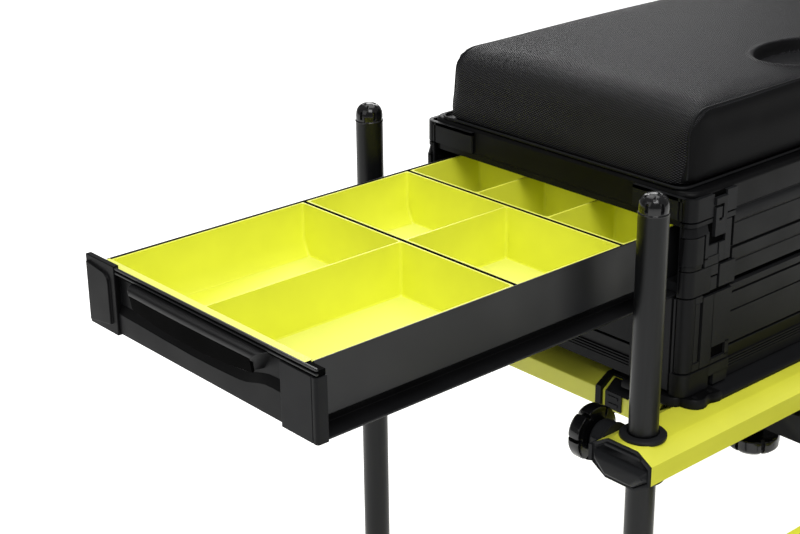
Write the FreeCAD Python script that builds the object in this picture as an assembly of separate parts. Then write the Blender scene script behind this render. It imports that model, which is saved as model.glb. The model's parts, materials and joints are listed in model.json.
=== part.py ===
import FreeCAD, Part
import math
import os

# Fishing seat box with telescopic legs, side drawer and sliding footplate.
# Millimetres, +Z up. The angler sits facing -Y; the drawer leaves the box along -X.
# The model is built about the middle of the box, with the floor at Z = 0, and is moved
# at the end so that the origin is at the middle of the bottom of its bounding box.

V = FreeCAD.Vector
GAP = 0.3                      # running gap between pieces that move

# Legs
LEG_D = 36.0                   # outer diameter of the leg tube
LEG_WALL = 2.0
LEG_X = 405.0                  # leg axes from the middle of the box
LEG_Y = 244.0
LEG_ABOVE = 279.0              # tube above the beam top
LEG_MARK = (2.0, 0.6)          # width and depth of the height mark, level with the collar
CAP_H = 24.0                   # domed cap above the tube
FOOT_D = 46.0
FOOT_H = 34.0

# Frame beams: flattened octagon profile
BEAM_TOP = 430.0               # beam top above the floor
BEAM_W = 87.8
BEAM_FLAT = 45.6
BEAM_DROP = 12.9               # height of each sloping face
BEAM_H = 50.7
BEAM_WALL = 3.0
BEAM_OVER = 35.0               # profile past the leg axis
END_T = 20.0                   # moulded beam end past the profile
COLLAR_D = 51.0
COLLAR_H = 6.0
BUSH_D = 45.0
CROSS_X = 284.0                # axis of each cross beam
BOSS_D = 46.0                  # leg clamp boss on the inner side
BOSS_L = 24.0
BRACKET_PLATE = 60.0           # corner bracket behind the inner side of the long beam
BRACKET_SLEEVE = 100.0
STUD_D = 10.0
KNOB_R = 36.0
KNOB_T = 25.0

# Box body
BOX_X = 314.0                  # half length and half width of the shells
BOX_Y = 225.0
BOX_R = 24.0                   # plan radius of the shell corners
WALL = 12.0
FLOOR_T = 4.0
BOX_Z0 = 12.0                  # heights above the beam top
TIER_Z = 137.0
LID_Z = 237.0
LID_TOP = 272.0
SKIRT_Z = (34.0, 56.0, 102.0, 127.0)
UPPER_GROOVE_Z = 189.0
CAST_T = 5.0                   # corner castings stand this proud of the shells
CAST_X = 89.0                  # casting length on the long and on the short face
CAST_Y = 91.0
CAST_SPLITS = (46.0, 143.0, 177.0, 230.0)
CAST_SPLIT_H = 2.0             # groove between two stacked castings
BULGE_Z = (190.0, 219.0)       # raised block on the corner of the upper casting
BULGE_L = 34.0

# Lid, hinge and cushion
CUSH_X = 304.0
CUSH_Y = 210.0
CUSH_R = 26.0                  # plan radius of its upright corners
CUSH_FOOT_R = 18.0             # plan radius of the sewn edge
CUSH_Z0 = LID_TOP
CUSH_TOP = 374.0
CUSH_CROWN = (6000.0, 3900.0)  # radii of the crowned top, along and across
CUSH_SHOULDER = (45.0, 13.0)   # radii over the short ends and the long sides
CUSH_FOOT = 5.0                # sewn edge at the bottom
CUSH_TUCK = 4.0                # how far the side draws in above it
CUSH_WIDE = 27.0               # height of the widest line above the lid
RECESS_Y = -140.0              # hand recess in the top
RECESS_R = (76.0, 48.0)
RECESS_DEEP = 16.0
HINGE_Y = 234.0
HINGE_Z = 238.0
HINGE_R = 6.0
HINGE_L = 300.0
HINGE_PIN_D = 6.0
HINGE_LEAF_T = 2.9
HINGE_LEAF_H = 31.5
LID_SKIN = 6.0
LID_EDGE = 6.0                 # rounding along the top of the lid
LID_CORNER_DROP = 5.0          # corner castings end this far below the lid top
LATCH_X = 265.0
LATCH_W = 22.0
LATCH_H = 48.0
LATCH_T = 6.5
LATCH_TRAVEL = 10.0

# Drawer, modelled open as it stands in the photograph
DRW_OUT = 531.0                # how far it is pulled out
DRW_L = 600.0                  # drawer tub behind the front panel
DRW_Y = 189.3                  # half width of the side walls
DRW_TOP = 220.6
DRW_BOTTOM = 140.0
DRW_RAIL_Z = 156.0             # lower edge of the side walls, which ride on the runners
DRW_FLANGE_Y = 208.0
DRW_SKIN = 2.5
PANEL_T = 12.0
PANEL_Z = (141.5, 225.5)
DCAP_Y = 210.4                 # end caps of the front panel
DCAP_W = 58.3
DCAP_Z = (139.5, 227.0)
DCAP_T = 15.0
HANDLE_BOW = 25.0              # handle past the faces of the end caps
HANDLE_OUT = DCAP_T + HANDLE_BOW - PANEL_T
HANDLE_SAG = 9.0               # bow of its long face
HANDLE_GAP = 5.1               # from each end of the handle to its cap
HANDLE_HALF = DCAP_Y - DCAP_W - HANDLE_GAP
HANDLE_BEVEL = 18.0
HANDLE_Z = (200.0, 221.0)
TRAY_Z = 150.0
TRAY_TOP = 219.6
TRAY_SKIN = 2.4
TRAY_ROWS = (287.0, 175.0, 133.0)
TRAY_DIVIDER_DROP = 1.0

# Footplate
PLATE_X = 310.0
PLATE_Y0 = -350.0              # rear edge
PLATE_DEPTH = 300.0
PLATE_Z = -150.0               # top of the frame from the beam top
PLATE_H = 30.0
PLATE_MEMBER = 40.0
RAIL_X = 120.0
RAIL_S = 25.0
RAIL_Z = -62.0                 # top of the rails
RAIL_BACK = 60.0
SLEEVE_T = 6.0
SLEEVE_L = 120.0
CLAMP_D = 26.0                 # boss under each sleeve for the rail knob
CLAMP_IN = 3.0                 # its axis behind the inner side of the beam
KNOB2_Z = -110.0               # lower face of that boss
PLEG_D = 30.0
PLEG_INSET = 30.0              # leg axis from the sides and the front of the plate
PLEG_X = PLATE_X - PLEG_INSET
PLEG_Y = PLATE_Y0 - PLATE_DEPTH + PLEG_INSET
PLEG_ABOVE = 60.0
PFOOT_D = 40.0
PFOOT_H = 26.0
PKNOB_R = 26.0

# Extremes of the whole object, for the origin
X_MIN = -(BOX_X + CAST_T + DRW_OUT + DCAP_T + HANDLE_BOW)
X_MAX = LEG_X + BEAM_OVER + END_T
Y_MIN = PLATE_Y0 - PLATE_DEPTH
Y_MAX = LEG_Y + BEAM_W / 2
ORIGIN = V((X_MIN + X_MAX) / 2, (Y_MIN + Y_MAX) / 2, -BEAM_TOP)

parts = {}


def box(x0, x1, y0, y1, z0, z1):
    """Block between two corners, given in any order."""
    return Part.makeBox(abs(x1 - x0), abs(y1 - y0), abs(z1 - z0),
                        V(min(x0, x1), min(y0, y1), min(z0, z1)))


def cyl(d, p, axis, length):
    return Part.makeCylinder(d / 2, length, V(*p), V(*axis))


def prism(points, vec):
    """Straight prism on a closed polygon."""
    pts = [V(*p) for p in points]
    return Part.Face(Part.makePolygon(pts + pts[:1])).extrude(V(*vec))


def rrect(hx, hy, r, z, cx=0.0, cy=0.0):
    """Wire of a rectangle with round corners, lines and quarter arcs."""
    edges = []
    k = math.sqrt(0.5)
    for sx, sy, a in ((1, 1, 0), (-1, 1, 1), (-1, -1, 2), (1, -1, 3)):
        mx, my = cx + sx * (hx - r), cy + sy * (hy - r)
        ends = [V(mx + sx * r, my, z), V(mx, my + sy * r, z)]
        if a % 2:
            ends.reverse()
        mid = V(mx + sx * r * k, my + sy * r * k, z)
        edges.append(Part.Arc(ends[0], mid, ends[1]).toShape())
    loop = []
    for i, arc in enumerate(edges):
        nxt = edges[(i + 1) % 4]
        a, b = arc.Vertexes[-1].Point, nxt.Vertexes[0].Point
        loop += [arc, Part.LineSegment(a, b).toShape()]
    return Part.Wire(loop)


def rblock(hx, hy, r, z0, z1, cx=0.0, cy=0.0):
    return Part.Face(rrect(hx, hy, r, z0, cx, cy)).extrude(V(0, 0, z1 - z0))


def fuse(first, *rest):
    out = first
    for s in rest:
        out = out.fuse(s)
    return out.removeSplitter()


def mirror_x(s):
    return s.mirror(V(0, 0, 0), V(1, 0, 0))


def mirror_y(s):
    return s.mirror(V(0, 0, 0), V(0, 1, 0))


def corners(name, shape):
    """Keep one piece four times, from the front left one (-X, -Y)."""
    parts[name + "_front_left"] = shape
    parts[name + "_rear_left"] = mirror_y(shape)
    parts[name + "_front_right"] = mirror_x(shape)
    parts[name + "_rear_right"] = mirror_x(mirror_y(shape))


def octagon(grow=0.0):
    """Half widths and heights of the beam profile, moved out by grow."""
    w, f = BEAM_W / 2 + grow, BEAM_FLAT / 2 + grow * 0.3
    top, bottom = grow, -BEAM_H - grow
    d = BEAM_DROP
    return [(-f, top), (f, top), (w, -d), (w, bottom + d + grow), (f, bottom),
            (-f, bottom), (-w, bottom + d + grow), (-w, -d)]


def beam_x(y, x0, x1, grow=0.0):
    return prism([(x0, y + a, z) for a, z in octagon(grow)], (x1 - x0, 0, 0))


def beam_y(x, y0, y1, grow=0.0):
    return prism([(x + a, y0, z) for a, z in octagon(grow)], (0, y1 - y0, 0))


def lobed_knob(r, t, stud_d, stud_l, lobes=6):
    """Clamp knob on the Z axis: grip from z = 0 down to -t, stud up to stud_l."""
    body = Part.makeCylinder(r * 0.78, t, V(0, 0, -t))
    for i in range(lobes):
        a = 2 * math.pi * i / lobes
        body = body.fuse(Part.makeCylinder(r * 0.3, t, V(math.cos(a) * r * 0.7,
                                                         math.sin(a) * r * 0.7, -t)))
    body = body.removeSplitter()
    dome = Part.makeCone(r * 0.72, r * 1.12, t * 0.62, V(0, 0, -t))
    skirt = Part.makeCylinder(r * 1.12, t * 0.38, V(0, 0, -t * 0.38))
    body = body.common(dome.fuse(skirt))
    hub = Part.makeCylinder(r * 0.34, t * 0.1, V(0, 0, -t * 1.06))
    return fuse(body, hub, Part.makeCylinder(stud_d / 2, stud_l + 1, V(0, 0, -1)))


# Frame: two long beams carry the legs, two cross beams join them.
inner_y = LEG_Y - BEAM_W / 2
clamp_y = -inner_y + CLAMP_IN
beam_end_x = LEG_X + BEAM_OVER


def long_beam():
    y = -LEG_Y
    s = beam_x(y, -beam_end_x, beam_end_x).cut(beam_x(y, -beam_end_x, beam_end_x, -BEAM_WALL))
    for sx in (-1, 1):
        s = s.cut(cyl(BUSH_D + 2 * GAP, (sx * LEG_X, y, -BEAM_H - 5), (0, 0, 1), BEAM_H + 10))
        s = s.cut(cyl(STUD_D + 2 * GAP, (sx * LEG_X, y, -BEAM_H / 2), (0, 1, 0), BEAM_W))
    return s


parts["front_beam"] = long_beam()
parts["rear_beam"] = mirror_y(long_beam())
cross = beam_y(-CROSS_X, -inner_y, inner_y).cut(beam_y(-CROSS_X, -inner_y, inner_y, -BEAM_WALL))
parts["cross_beam_left"] = cross
parts["cross_beam_right"] = mirror_x(cross)


def beam_end():
    """Moulded end with the leg bush, its collars and the boss for the clamp knob."""
    x, y, zc = -LEG_X, -LEG_Y, -BEAM_H / 2
    cap = beam_x(y, -beam_end_x - END_T, -beam_end_x)
    cap = cap.cut(beam_x(y, -beam_end_x - END_T - 1, -beam_end_x - END_T + 9, -9))
    plug = beam_x(y, -beam_end_x - 1, x + BUSH_D / 2 - 4, -BEAM_WALL - GAP)
    bush = cyl(BUSH_D, (x, y, -BEAM_H - 4), (0, 0, 1), BEAM_H + 4 + COLLAR_H)
    collar = cyl(COLLAR_D, (x, y, 0), (0, 0, 1), COLLAR_H)
    collar = collar.makeChamfer(2.0, [collar.Edges[0]])
    under = cyl(COLLAR_D, (x, y, -BEAM_H - 4), (0, 0, 1), 4)
    cheek = box(-beam_end_x - 8, x + 30, y + BEAM_W / 2, y + BEAM_W / 2 + 5,
                -BEAM_DROP + 2, -BEAM_H + BEAM_DROP - 2)
    boss = cyl(BOSS_D, (x, y + BEAM_W / 2, zc), (0, 1, 0), BOSS_L)
    boss = boss.cut(cyl(BOSS_D - 12, (x, y + BEAM_W / 2 + BOSS_L - 3, zc), (0, 1, 0), 4))
    s = fuse(cap, plug, bush, collar, under, cheek, boss)
    s = s.cut(cyl(LEG_D + 2 * GAP, (x, y, -BEAM_H - 10), (0, 0, 1), BEAM_H + 30))
    return s.cut(cyl(STUD_D + 2 * GAP, (x, y + LEG_D / 4, zc), (0, 1, 0), BEAM_W))


corners("beam_end", beam_end())


def corner_bracket():
    """Foot under a box corner, in one piece with the sleeve on the cross beam."""
    x0, x1 = -BOX_X - 8, -BOX_X + CAST_X + 10
    plate_y, rim_y = -inner_y + BRACKET_PLATE, -inner_y + BRACKET_PLATE - 10
    sleeve_y, sleeve_end = rim_y - 8, -inner_y + BRACKET_SLEEVE
    plate = box(x0, x1, -LEG_Y - 16, plate_y, 0, BOX_Z0)
    lobe = cyl(44, (-BOX_X + 48, -LEG_Y - 4, 0), (0, 0, 1), BOX_Z0)
    rim = box(x0 - 5, x0 + 8, -LEG_Y - 8, rim_y, BOX_Z0 - 8, BOX_Z0)
    sleeve = beam_y(-CROSS_X, sleeve_y, sleeve_end - 2, 5.0)
    flange = beam_y(-CROSS_X, sleeve_end - 10, sleeve_end, 8.0)
    s = fuse(plate, lobe, rim, sleeve, flange)
    s = s.cut(beam_y(-CROSS_X, -inner_y, 0))
    for z in (5.0, 20.0):
        s = s.cut(box(-CROSS_X - BEAM_W / 2 - 9, -CROSS_X - BEAM_W / 2 - 2.5,
                      rim_y, sleeve_end - 18, -BEAM_H / 2 - 8 + z - 5, -BEAM_H / 2 + z - 5))
    return s


corners("corner_bracket", corner_bracket())

# Lower tier: deep base compartment.
z1, z2, z3, z4 = SKIRT_Z


def tub_band(za, zb, d):
    return rblock(BOX_X + d, BOX_Y + d, BOX_R + d, za, zb)


def slope_band(za, zb, da, db):
    wires = [rrect(BOX_X + d, BOX_Y + d, BOX_R + d, z) for z, d in ((za, da), (zb, db))]
    return Part.makeLoft(wires, True, True)


def shell_inner(za, zb):
    return rblock(BOX_X - WALL, BOX_Y - WALL, BOX_R - WALL, za, zb)


lower = fuse(tub_band(BOX_Z0, z1, 0), slope_band(z1, z2, -6, -1), tub_band(z2, z3, -1),
             tub_band(z3, z4, 0), tub_band(z4, TIER_Z, -7))
for zg in (z2 + 15, z3 - 12):
    ring = tub_band(zg, zg + 2, 2).cut(tub_band(zg - 1, zg + 3, -3))
    lower = lower.cut(ring)
parts["lower_tub"] = lower.cut(shell_inner(BOX_Z0 + FLOOR_T, TIER_Z + 1))

# Upper tier: open at the drawer end, closed by a shelf below and a rim above.
shelf_z = TIER_Z + 2.6
zg = UPPER_GROOVE_Z
upper = fuse(tub_band(TIER_Z, TIER_Z + 10, -7), tub_band(TIER_Z + 10, LID_Z, 0))
for z in (zg, zg + 22, zg - 20):
    upper = upper.cut(tub_band(z, z + 2, 2).cut(tub_band(z - 1, z + 3, -3)))
upper = upper.cut(shell_inner(shelf_z, LID_Z + 1))
upper = upper.cut(box(-BOX_X - 9, -BOX_X + WALL + BOX_R, -BOX_Y + WALL, BOX_Y - WALL,
                      shelf_z, LID_Z - 8))
for sy in (-1, 1):
    rail = box(-BOX_X + 4, BOX_X - WALL - 20, sy * (DRW_Y - 5), sy * (BOX_Y - WALL + 1),
               DRW_BOTTOM + DRW_SKIN + GAP, DRW_RAIL_Z - GAP)
    upper = upper.fuse(rail)
parts["upper_shell"] = upper.removeSplitter()


def casting_plan(za, zb, grow, end_face):
    """Corner plate outside the shells, on the long face and, low down, on the end face."""
    t = CAST_T + grow
    block = rblock(BOX_X + t, BOX_Y + t, BOX_R + t, za, zb)
    x_keep = box(-BOX_X - 30, -BOX_X - CAST_T + CAST_X, -BOX_Y - 30, -BOX_Y + BOX_R, za, zb)
    if end_face:
        x_keep = x_keep.fuse(box(-BOX_X - 30, -BOX_X + BOX_R, -BOX_Y - 30,
                                 -BOX_Y - CAST_T + CAST_Y, za, zb))
    return block.common(x_keep.removeSplitter())


def latch_slot(z, x, tall, deep):
    """Stepped release slot in the long face of a casting."""
    y = -BOX_Y - CAST_T
    return fuse(box(x - 5, x + 5, y - 3, y + deep, z, z + tall),
                box(x - 12, x + 1, y - 3, y + deep, z + tall - 9, z + tall))


def corner_post():
    foot_top, low_top, mid_top, top_z = CAST_SPLITS
    half = CAST_SPLIT_H / 2
    layers = [(BOX_Z0 + 2, foot_top, 1.5, True), (foot_top, low_top, 0, True),
              (low_top, mid_top, 1.0, False), (mid_top, top_z, 0, False),
              (top_z, LID_Z, 1.0, False)]
    s = None
    for za, zb, grow, end_face in layers:
        block = casting_plan(za + half, zb - half, grow, end_face)
        joint = casting_plan(zb - half, zb + half, -1.5, end_face and zb < TIER_Z)
        s = block if s is None else s.fuse(block)
        if zb < LID_Z:
            s = s.fuse(joint)
    bulge = casting_plan(*BULGE_Z, 2.0, False)
    s = s.fuse(bulge.common(box(-BOX_X - 30, -BOX_X - CAST_T + BULGE_L, -BOX_Y - 30, 0,
                                *BULGE_Z))).removeSplitter()
    s = s.cut(rblock(BOX_X, BOX_Y, BOX_R, 0, LID_Z + 1))
    for z in (CAST_SPLITS[0] - 24, CAST_SPLITS[1] + 1):
        s = s.cut(latch_slot(z, -LATCH_X, 18, 3.0))
    pocket_y = -BOX_Y - CAST_T
    s = s.cut(box(-LATCH_X - LATCH_W / 2 - GAP, -LATCH_X + LATCH_W / 2 + GAP,
                  pocket_y - 3, pocket_y + 3.5,
                  LID_Z - LATCH_H / 2 - LATCH_TRAVEL - GAP, LID_Z + 1))
    # drawer opening stays clear at the end face
    return s.cut(box(-BOX_X - 30, -BOX_X + BOX_R, -BOX_Y + WALL, 0, TIER_Z, LID_Z + 1))


corners("corner_post", corner_post())


# Lid: frame with its panel, corner castings, long hinge and cushion.
def lid_frame():
    z0 = LID_Z + GAP
    s = rblock(BOX_X, BOX_Y, BOX_R, z0, LID_TOP)
    s = s.makeFillet(LID_EDGE, [e for e in s.Edges if e.BoundBox.ZMin > LID_TOP - 0.01])
    return s.cut(rblock(BOX_X - WALL, BOX_Y - WALL, BOX_R - WALL, z0 - 1, LID_TOP - LID_SKIN))


parts["lid_frame"] = lid_frame()


def lid_corner():
    top = LID_TOP - LID_CORNER_DROP
    s = casting_plan(LID_Z + GAP, top - 4, 1.0, True)
    s = fuse(s, casting_plan(top - 4, top, 0, True))
    s = s.cut(rblock(BOX_X, BOX_Y, BOX_R, LID_Z - 1, LID_TOP + 1))
    y = -BOX_Y - CAST_T
    s = s.cut(box(-LATCH_X - LATCH_W / 2 - GAP, -LATCH_X + LATCH_W / 2 + GAP, y - 3, y + 3.5,
                  LID_Z - 1, LID_Z + LATCH_H / 2 + GAP))
    return s


corners("lid_corner", lid_corner())


def hinge_leaf(lid):
    """Half of the long hinge; the box half also carries the pin."""
    h = HINGE_L / 2
    third = HINGE_L / 6
    top = HINGE_Z - 2.5
    z0, z1 = (HINGE_Z + 1.5, LID_TOP - LID_EDGE) if lid else (top - HINGE_LEAF_H, top)
    leaf = box(-h, h, BOX_Y + 0.1, BOX_Y + 0.1 + HINGE_LEAF_T, z0, z1)
    spans = ((-h, -third - GAP), (third + GAP, h)) if lid else ((-third, third),)
    s = leaf
    for a, b in spans:
        tab_z = (HINGE_Z - 1, z0 + 1) if lid else (z1 - 1, HINGE_Z + 1)
        s = fuse(s, box(a, b, BOX_Y + 0.1, HINGE_Y, *tab_z),
                 cyl(2 * HINGE_R, (a, HINGE_Y, HINGE_Z), (1, 0, 0), b - a))
    if lid:
        return s.cut(cyl(HINGE_PIN_D + 2 * GAP, (-h - 1, HINGE_Y, HINGE_Z), (1, 0, 0), HINGE_L + 2))
    return fuse(s, cyl(HINGE_PIN_D, (-h, HINGE_Y, HINGE_Z), (1, 0, 0), HINGE_L))


parts["hinge_lid"] = hinge_leaf(True)
parts["hinge_box"] = hinge_leaf(False)


def arch(half, crown, shoulder, depth):
    """Prism along Y under a crowned arc that turns down into the sides with a shoulder arc."""
    low = CUSH_Z0 + CUSH_FOOT
    zc = CUSH_TOP - crown + math.sqrt((crown - shoulder) ** 2 - (half - shoulder) ** 2)
    lean = math.asin((half - shoulder) / (crown - shoulder))    # where the two arcs meet

    def on_shoulder(side, angle):
        return V(side * (half - shoulder + shoulder * math.sin(angle)), -depth,
                 zc + shoulder * math.cos(angle))

    middle = (lean + math.pi / 2) / 2
    right, left = (on_shoulder(side, lean) for side in (1, -1))
    feet = V(half, -depth, low), V(-half, -depth, low)
    edges = [Part.LineSegment(feet[1], feet[0]), Part.LineSegment(feet[0], V(half, -depth, zc)),
             Part.Arc(V(half, -depth, zc), on_shoulder(1, middle), right),
             Part.Arc(right, V(0, -depth, CUSH_TOP), left),
             Part.Arc(left, on_shoulder(-1, middle), V(-half, -depth, zc)),
             Part.LineSegment(V(-half, -depth, zc), feet[1])]
    return Part.Face(Part.Wire([e.toShape() for e in edges])).extrude(V(0, 2 * depth, 0))


def cushion():
    """Moulded seat cushion: crowned top, drawn-in foot and a hand recess at the front."""
    foot = rblock(CUSH_X, CUSH_Y, CUSH_FOOT_R, CUSH_Z0, CUSH_Z0 + CUSH_FOOT)
    wires = [rrect(CUSH_X - d, CUSH_Y - d, r - d, CUSH_Z0 + z)
             for d, r, z in ((CUSH_TUCK, CUSH_FOOT_R, CUSH_FOOT), (0, CUSH_R, CUSH_WIDE))]
    s = fuse(Part.makeLoft(wires, True, True),
             rblock(CUSH_X, CUSH_Y, CUSH_R, CUSH_Z0 + CUSH_WIDE, CUSH_TOP + 5))
    across = arch(CUSH_Y, CUSH_CROWN[1], CUSH_SHOULDER[1], CUSH_X)
    across.rotate(V(0, 0, 0), V(0, 0, 1), 90)
    s = s.common(arch(CUSH_X, CUSH_CROWN[0], CUSH_SHOULDER[0], CUSH_Y)).common(across)
    dish = Part.Ellipse(V(0, RECESS_Y, CUSH_TOP - RECESS_DEEP), *RECESS_R).toShape()
    return fuse(s, foot).cut(Part.Face(Part.Wire([dish])).extrude(V(0, 0, 40)))


parts["cushion"] = cushion()


def latch():
    y = -BOX_Y - CAST_T
    z0 = LID_Z - LATCH_H / 2
    s = box(-LATCH_X - LATCH_W / 2, -LATCH_X + LATCH_W / 2, y + 3.2 - LATCH_T, y + 3.2,
            z0, z0 + LATCH_H)
    grip = [box(-LATCH_X - 8, -LATCH_X + 8, y + 2 - LATCH_T, y + 3.8 - LATCH_T,
                z0 + 6 + 5 * i, z0 + 8 + 5 * i) for i in range(3)]
    slot = box(-LATCH_X - 3, -LATCH_X + 3, y - 6, y + 0.5, z0 + 26, z0 + 42)
    for g in grip:
        s = s.cut(g)
    return s.cut(slot)


parts["latch_left"] = latch()
parts["latch_right"] = mirror_x(latch())

# Drawer
drw_x0 = -(BOX_X + CAST_T + DRW_OUT)        # back of the front panel
skin = DRW_SKIN


def drawer_tub():
    x1 = drw_x0 + DRW_L
    floor = box(drw_x0, x1, -DRW_FLANGE_Y, DRW_FLANGE_Y, DRW_BOTTOM, DRW_BOTTOM + skin)
    s = floor
    for sy in (-1, 1):
        inner = DRW_Y - 9
        s = s.fuse(box(drw_x0, x1, sy * (DRW_Y - skin), sy * DRW_Y, DRW_RAIL_Z, DRW_TOP))
        s = s.fuse(box(drw_x0, x1, sy * (inner - skin), sy * DRW_Y, DRW_RAIL_Z,
                       DRW_RAIL_Z + skin))
        s = s.fuse(box(drw_x0, x1, sy * (inner - skin), sy * inner, DRW_BOTTOM,
                       DRW_RAIL_Z + skin))
    s = s.fuse(box(x1 - skin, x1, -DRW_Y, DRW_Y, DRW_RAIL_Z, DRW_TOP))
    s = s.fuse(box(x1 - skin, x1, -(DRW_Y - 9), DRW_Y - 9, DRW_BOTTOM, DRW_TOP))
    return s.removeSplitter()


parts["drawer_tub"] = drawer_tub()

panel_face = drw_x0 - PANEL_T
panel = box(drw_x0, panel_face, -DCAP_Y + DCAP_W, DCAP_Y - DCAP_W, *PANEL_Z)
for z in (PANEL_Z[1] - 4.5, PANEL_Z[1] - 9.5):
    panel = panel.cut(box(panel_face - 1, panel_face + 1.5, -DCAP_Y, DCAP_Y, z, z + 2))
parts["drawer_panel"] = panel


def drawer_cap():
    """Front left cap in the -Y half; it overhangs the drawer side."""
    x1 = drw_x0 - DCAP_T
    y0, y1 = -DCAP_Y, -DCAP_Y + DCAP_W - 0.05
    s = box(drw_x0, x1, y0, y1, *DCAP_Z)
    s = s.makeFillet(2.0, [e for e in s.Edges if abs(e.BoundBox.XMin - x1) < 0.1
                           and e.BoundBox.XLength < 0.1])
    dish = rblock_x(x1 - 1, x1 + 1.6, (y0 + y1) / 2, (DCAP_Z[0] + DCAP_Z[1]) / 2,
                    DCAP_W / 2 - 11, (DCAP_Z[1] - DCAP_Z[0]) / 2 - 12, 8)
    return s.cut(dish)


def rblock_x(x0, x1, y, z, hy, hz, r):
    """Rounded block along X."""
    s = rblock(hz, hy, r, x0, x1)
    s.rotate(V(0, 0, 0), V(0, 1, 0), 90)
    s.translate(V(0, y, z))
    return s


parts["drawer_cap_front"] = drawer_cap()
parts["drawer_cap_rear"] = mirror_y(drawer_cap())


def handle():
    """Bowed pull across the panel, hollow behind, with bevelled ends."""
    z0, z1 = HANDLE_Z

    def bow(inset, lo, hi):
        half, flat = HANDLE_HALF - inset, HANDLE_HALF - HANDLE_BEVEL - inset / 2
        depth = HANDLE_OUT - HANDLE_SAG - inset
        a, b = V(panel_face, -half, lo), V(panel_face, half, lo)
        p, q = V(panel_face - depth, -flat, lo), V(panel_face - depth, flat, lo)
        mid = V(panel_face - depth - HANDLE_SAG, 0, lo)
        w = Part.Wire([Part.LineSegment(a, p).toShape(), Part.Arc(p, mid, q).toShape(),
                       Part.LineSegment(q, b).toShape(), Part.LineSegment(b, a).toShape()])
        return Part.Face(w).extrude(V(0, 0, hi - lo))

    return bow(0, z0, z1).cut(bow(6, z0 - 1, z1 - 7))


parts["drawer_handle"] = handle()


def tray(x0, length, splits_x=(), splits_y=()):
    """Open tray with thin walls; its dividers are lower than the rim."""
    hy = DRW_Y - skin - 1.0
    s = box(x0, x0 + length, -hy, hy, TRAY_Z, TRAY_TOP)
    s = s.cut(box(x0 + TRAY_SKIN, x0 + length - TRAY_SKIN, -hy + TRAY_SKIN, hy - TRAY_SKIN,
                  TRAY_Z + TRAY_SKIN, TRAY_TOP + 1))
    # the lower edges pass inside the runner groove of the drawer
    for sy in (-1, 1):
        s = s.cut(box(x0 - 1, x0 + length + 1, sy * (DRW_Y - 9 - skin - 0.5), sy * (hy + 1),
                      TRAY_Z - 1, DRW_RAIL_Z + skin))
        s = s.fuse(box(x0, x0 + length, sy * (hy - 11), sy * hy, DRW_RAIL_Z + skin,
                       DRW_RAIL_Z + skin + TRAY_SKIN))
        s = s.fuse(box(x0, x0 + length, sy * (DRW_Y - 9 - skin - 0.5),
                       sy * (DRW_Y - 9 - skin - 0.5 - TRAY_SKIN), TRAY_Z,
                       DRW_RAIL_Z + skin + TRAY_SKIN))
    top = TRAY_TOP - TRAY_DIVIDER_DROP
    for y in splits_y:
        s = s.fuse(box(x0 + 1, x0 + length - 1, y - 1.1, y + 1.1, TRAY_Z + 1, top))
    return s.removeSplitter()


row_x = drw_x0 + 0.6
tray_names = ("tray_outer", "tray_middle", "tray_inner")
tray_splits = ((0.0,), (0.0,), (-DRW_Y / 3, DRW_Y / 3))
for tray_name, length, splits in zip(tray_names, TRAY_ROWS, tray_splits):
    parts[tray_name] = tray(row_x, length - 1.2, splits_y=splits)
    row_x += length


# Legs: tube with its foot, and the domed cap in the top.
def leg_tube(d, top, foot_d, foot_h):
    z0 = -BEAM_TOP
    s = Part.makeCylinder(d / 2, top - z0 - foot_h / 2, V(0, 0, z0 + foot_h / 2))
    s = s.cut(Part.makeCylinder(d / 2 - LEG_WALL, top - z0, V(0, 0, z0 + foot_h)))
    foot = Part.makeCylinder(foot_d / 2, foot_h * 0.55, V(0, 0, z0))
    foot = foot.makeFillet(2.0, [foot.Edges[0], foot.Edges[2]])
    cone = Part.makeCone(foot_d / 2 - 2, d / 2 + 0.8, foot_h * 0.45, V(0, 0, z0 + foot_h * 0.55))
    return fuse(s, foot, cone)


def leg_cap(d, top, h):
    """Dome with shallow flutes, on a plug that fits in the tube."""
    r = d / 2 - 0.2
    s = Part.makeCylinder(r, h, V(0, 0, top))
    s = s.makeFillet(r * 0.68, [e for e in s.Edges if abs(e.BoundBox.ZMin - top - h) < 0.1
                                and e.BoundBox.ZLength < 0.1])
    for i in range(4):
        a = math.pi / 4 + i * math.pi / 2
        s = s.cut(Part.makeCylinder(4.5, h, V(math.cos(a) * (r + 2.4), math.sin(a) * (r + 2.4),
                                              top + h * 0.3)))
    return fuse(s, Part.makeCylinder(d / 2 - LEG_WALL, 18, V(0, 0, top - 18)))


def at(shape, x, y, z=0.0):
    s = shape.copy()
    s.translate(V(x, y, z))
    return s


tube = leg_tube(LEG_D, LEG_ABOVE, FOOT_D, FOOT_H)
mark = Part.makeCylinder(LEG_D, LEG_MARK[0], V(0, 0, COLLAR_H - LEG_MARK[0]))
tube = tube.cut(mark.cut(Part.makeCylinder(LEG_D / 2 - LEG_MARK[1], 2 * COLLAR_H)))
corners("leg_tube", at(tube, -LEG_X, -LEG_Y))
corners("leg_cap", at(leg_cap(LEG_D, LEG_ABOVE, CAP_H), -LEG_X, -LEG_Y))

knob = lobed_knob(KNOB_R, KNOB_T, STUD_D, LEG_Y - inner_y - LEG_D / 2 + BOSS_L)
knob.rotate(V(0, 0, 0), V(1, 0, 0), 90)
corners("leg_knob", at(knob, -LEG_X, -inner_y + BOSS_L + GAP, -BEAM_H / 2))


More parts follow.
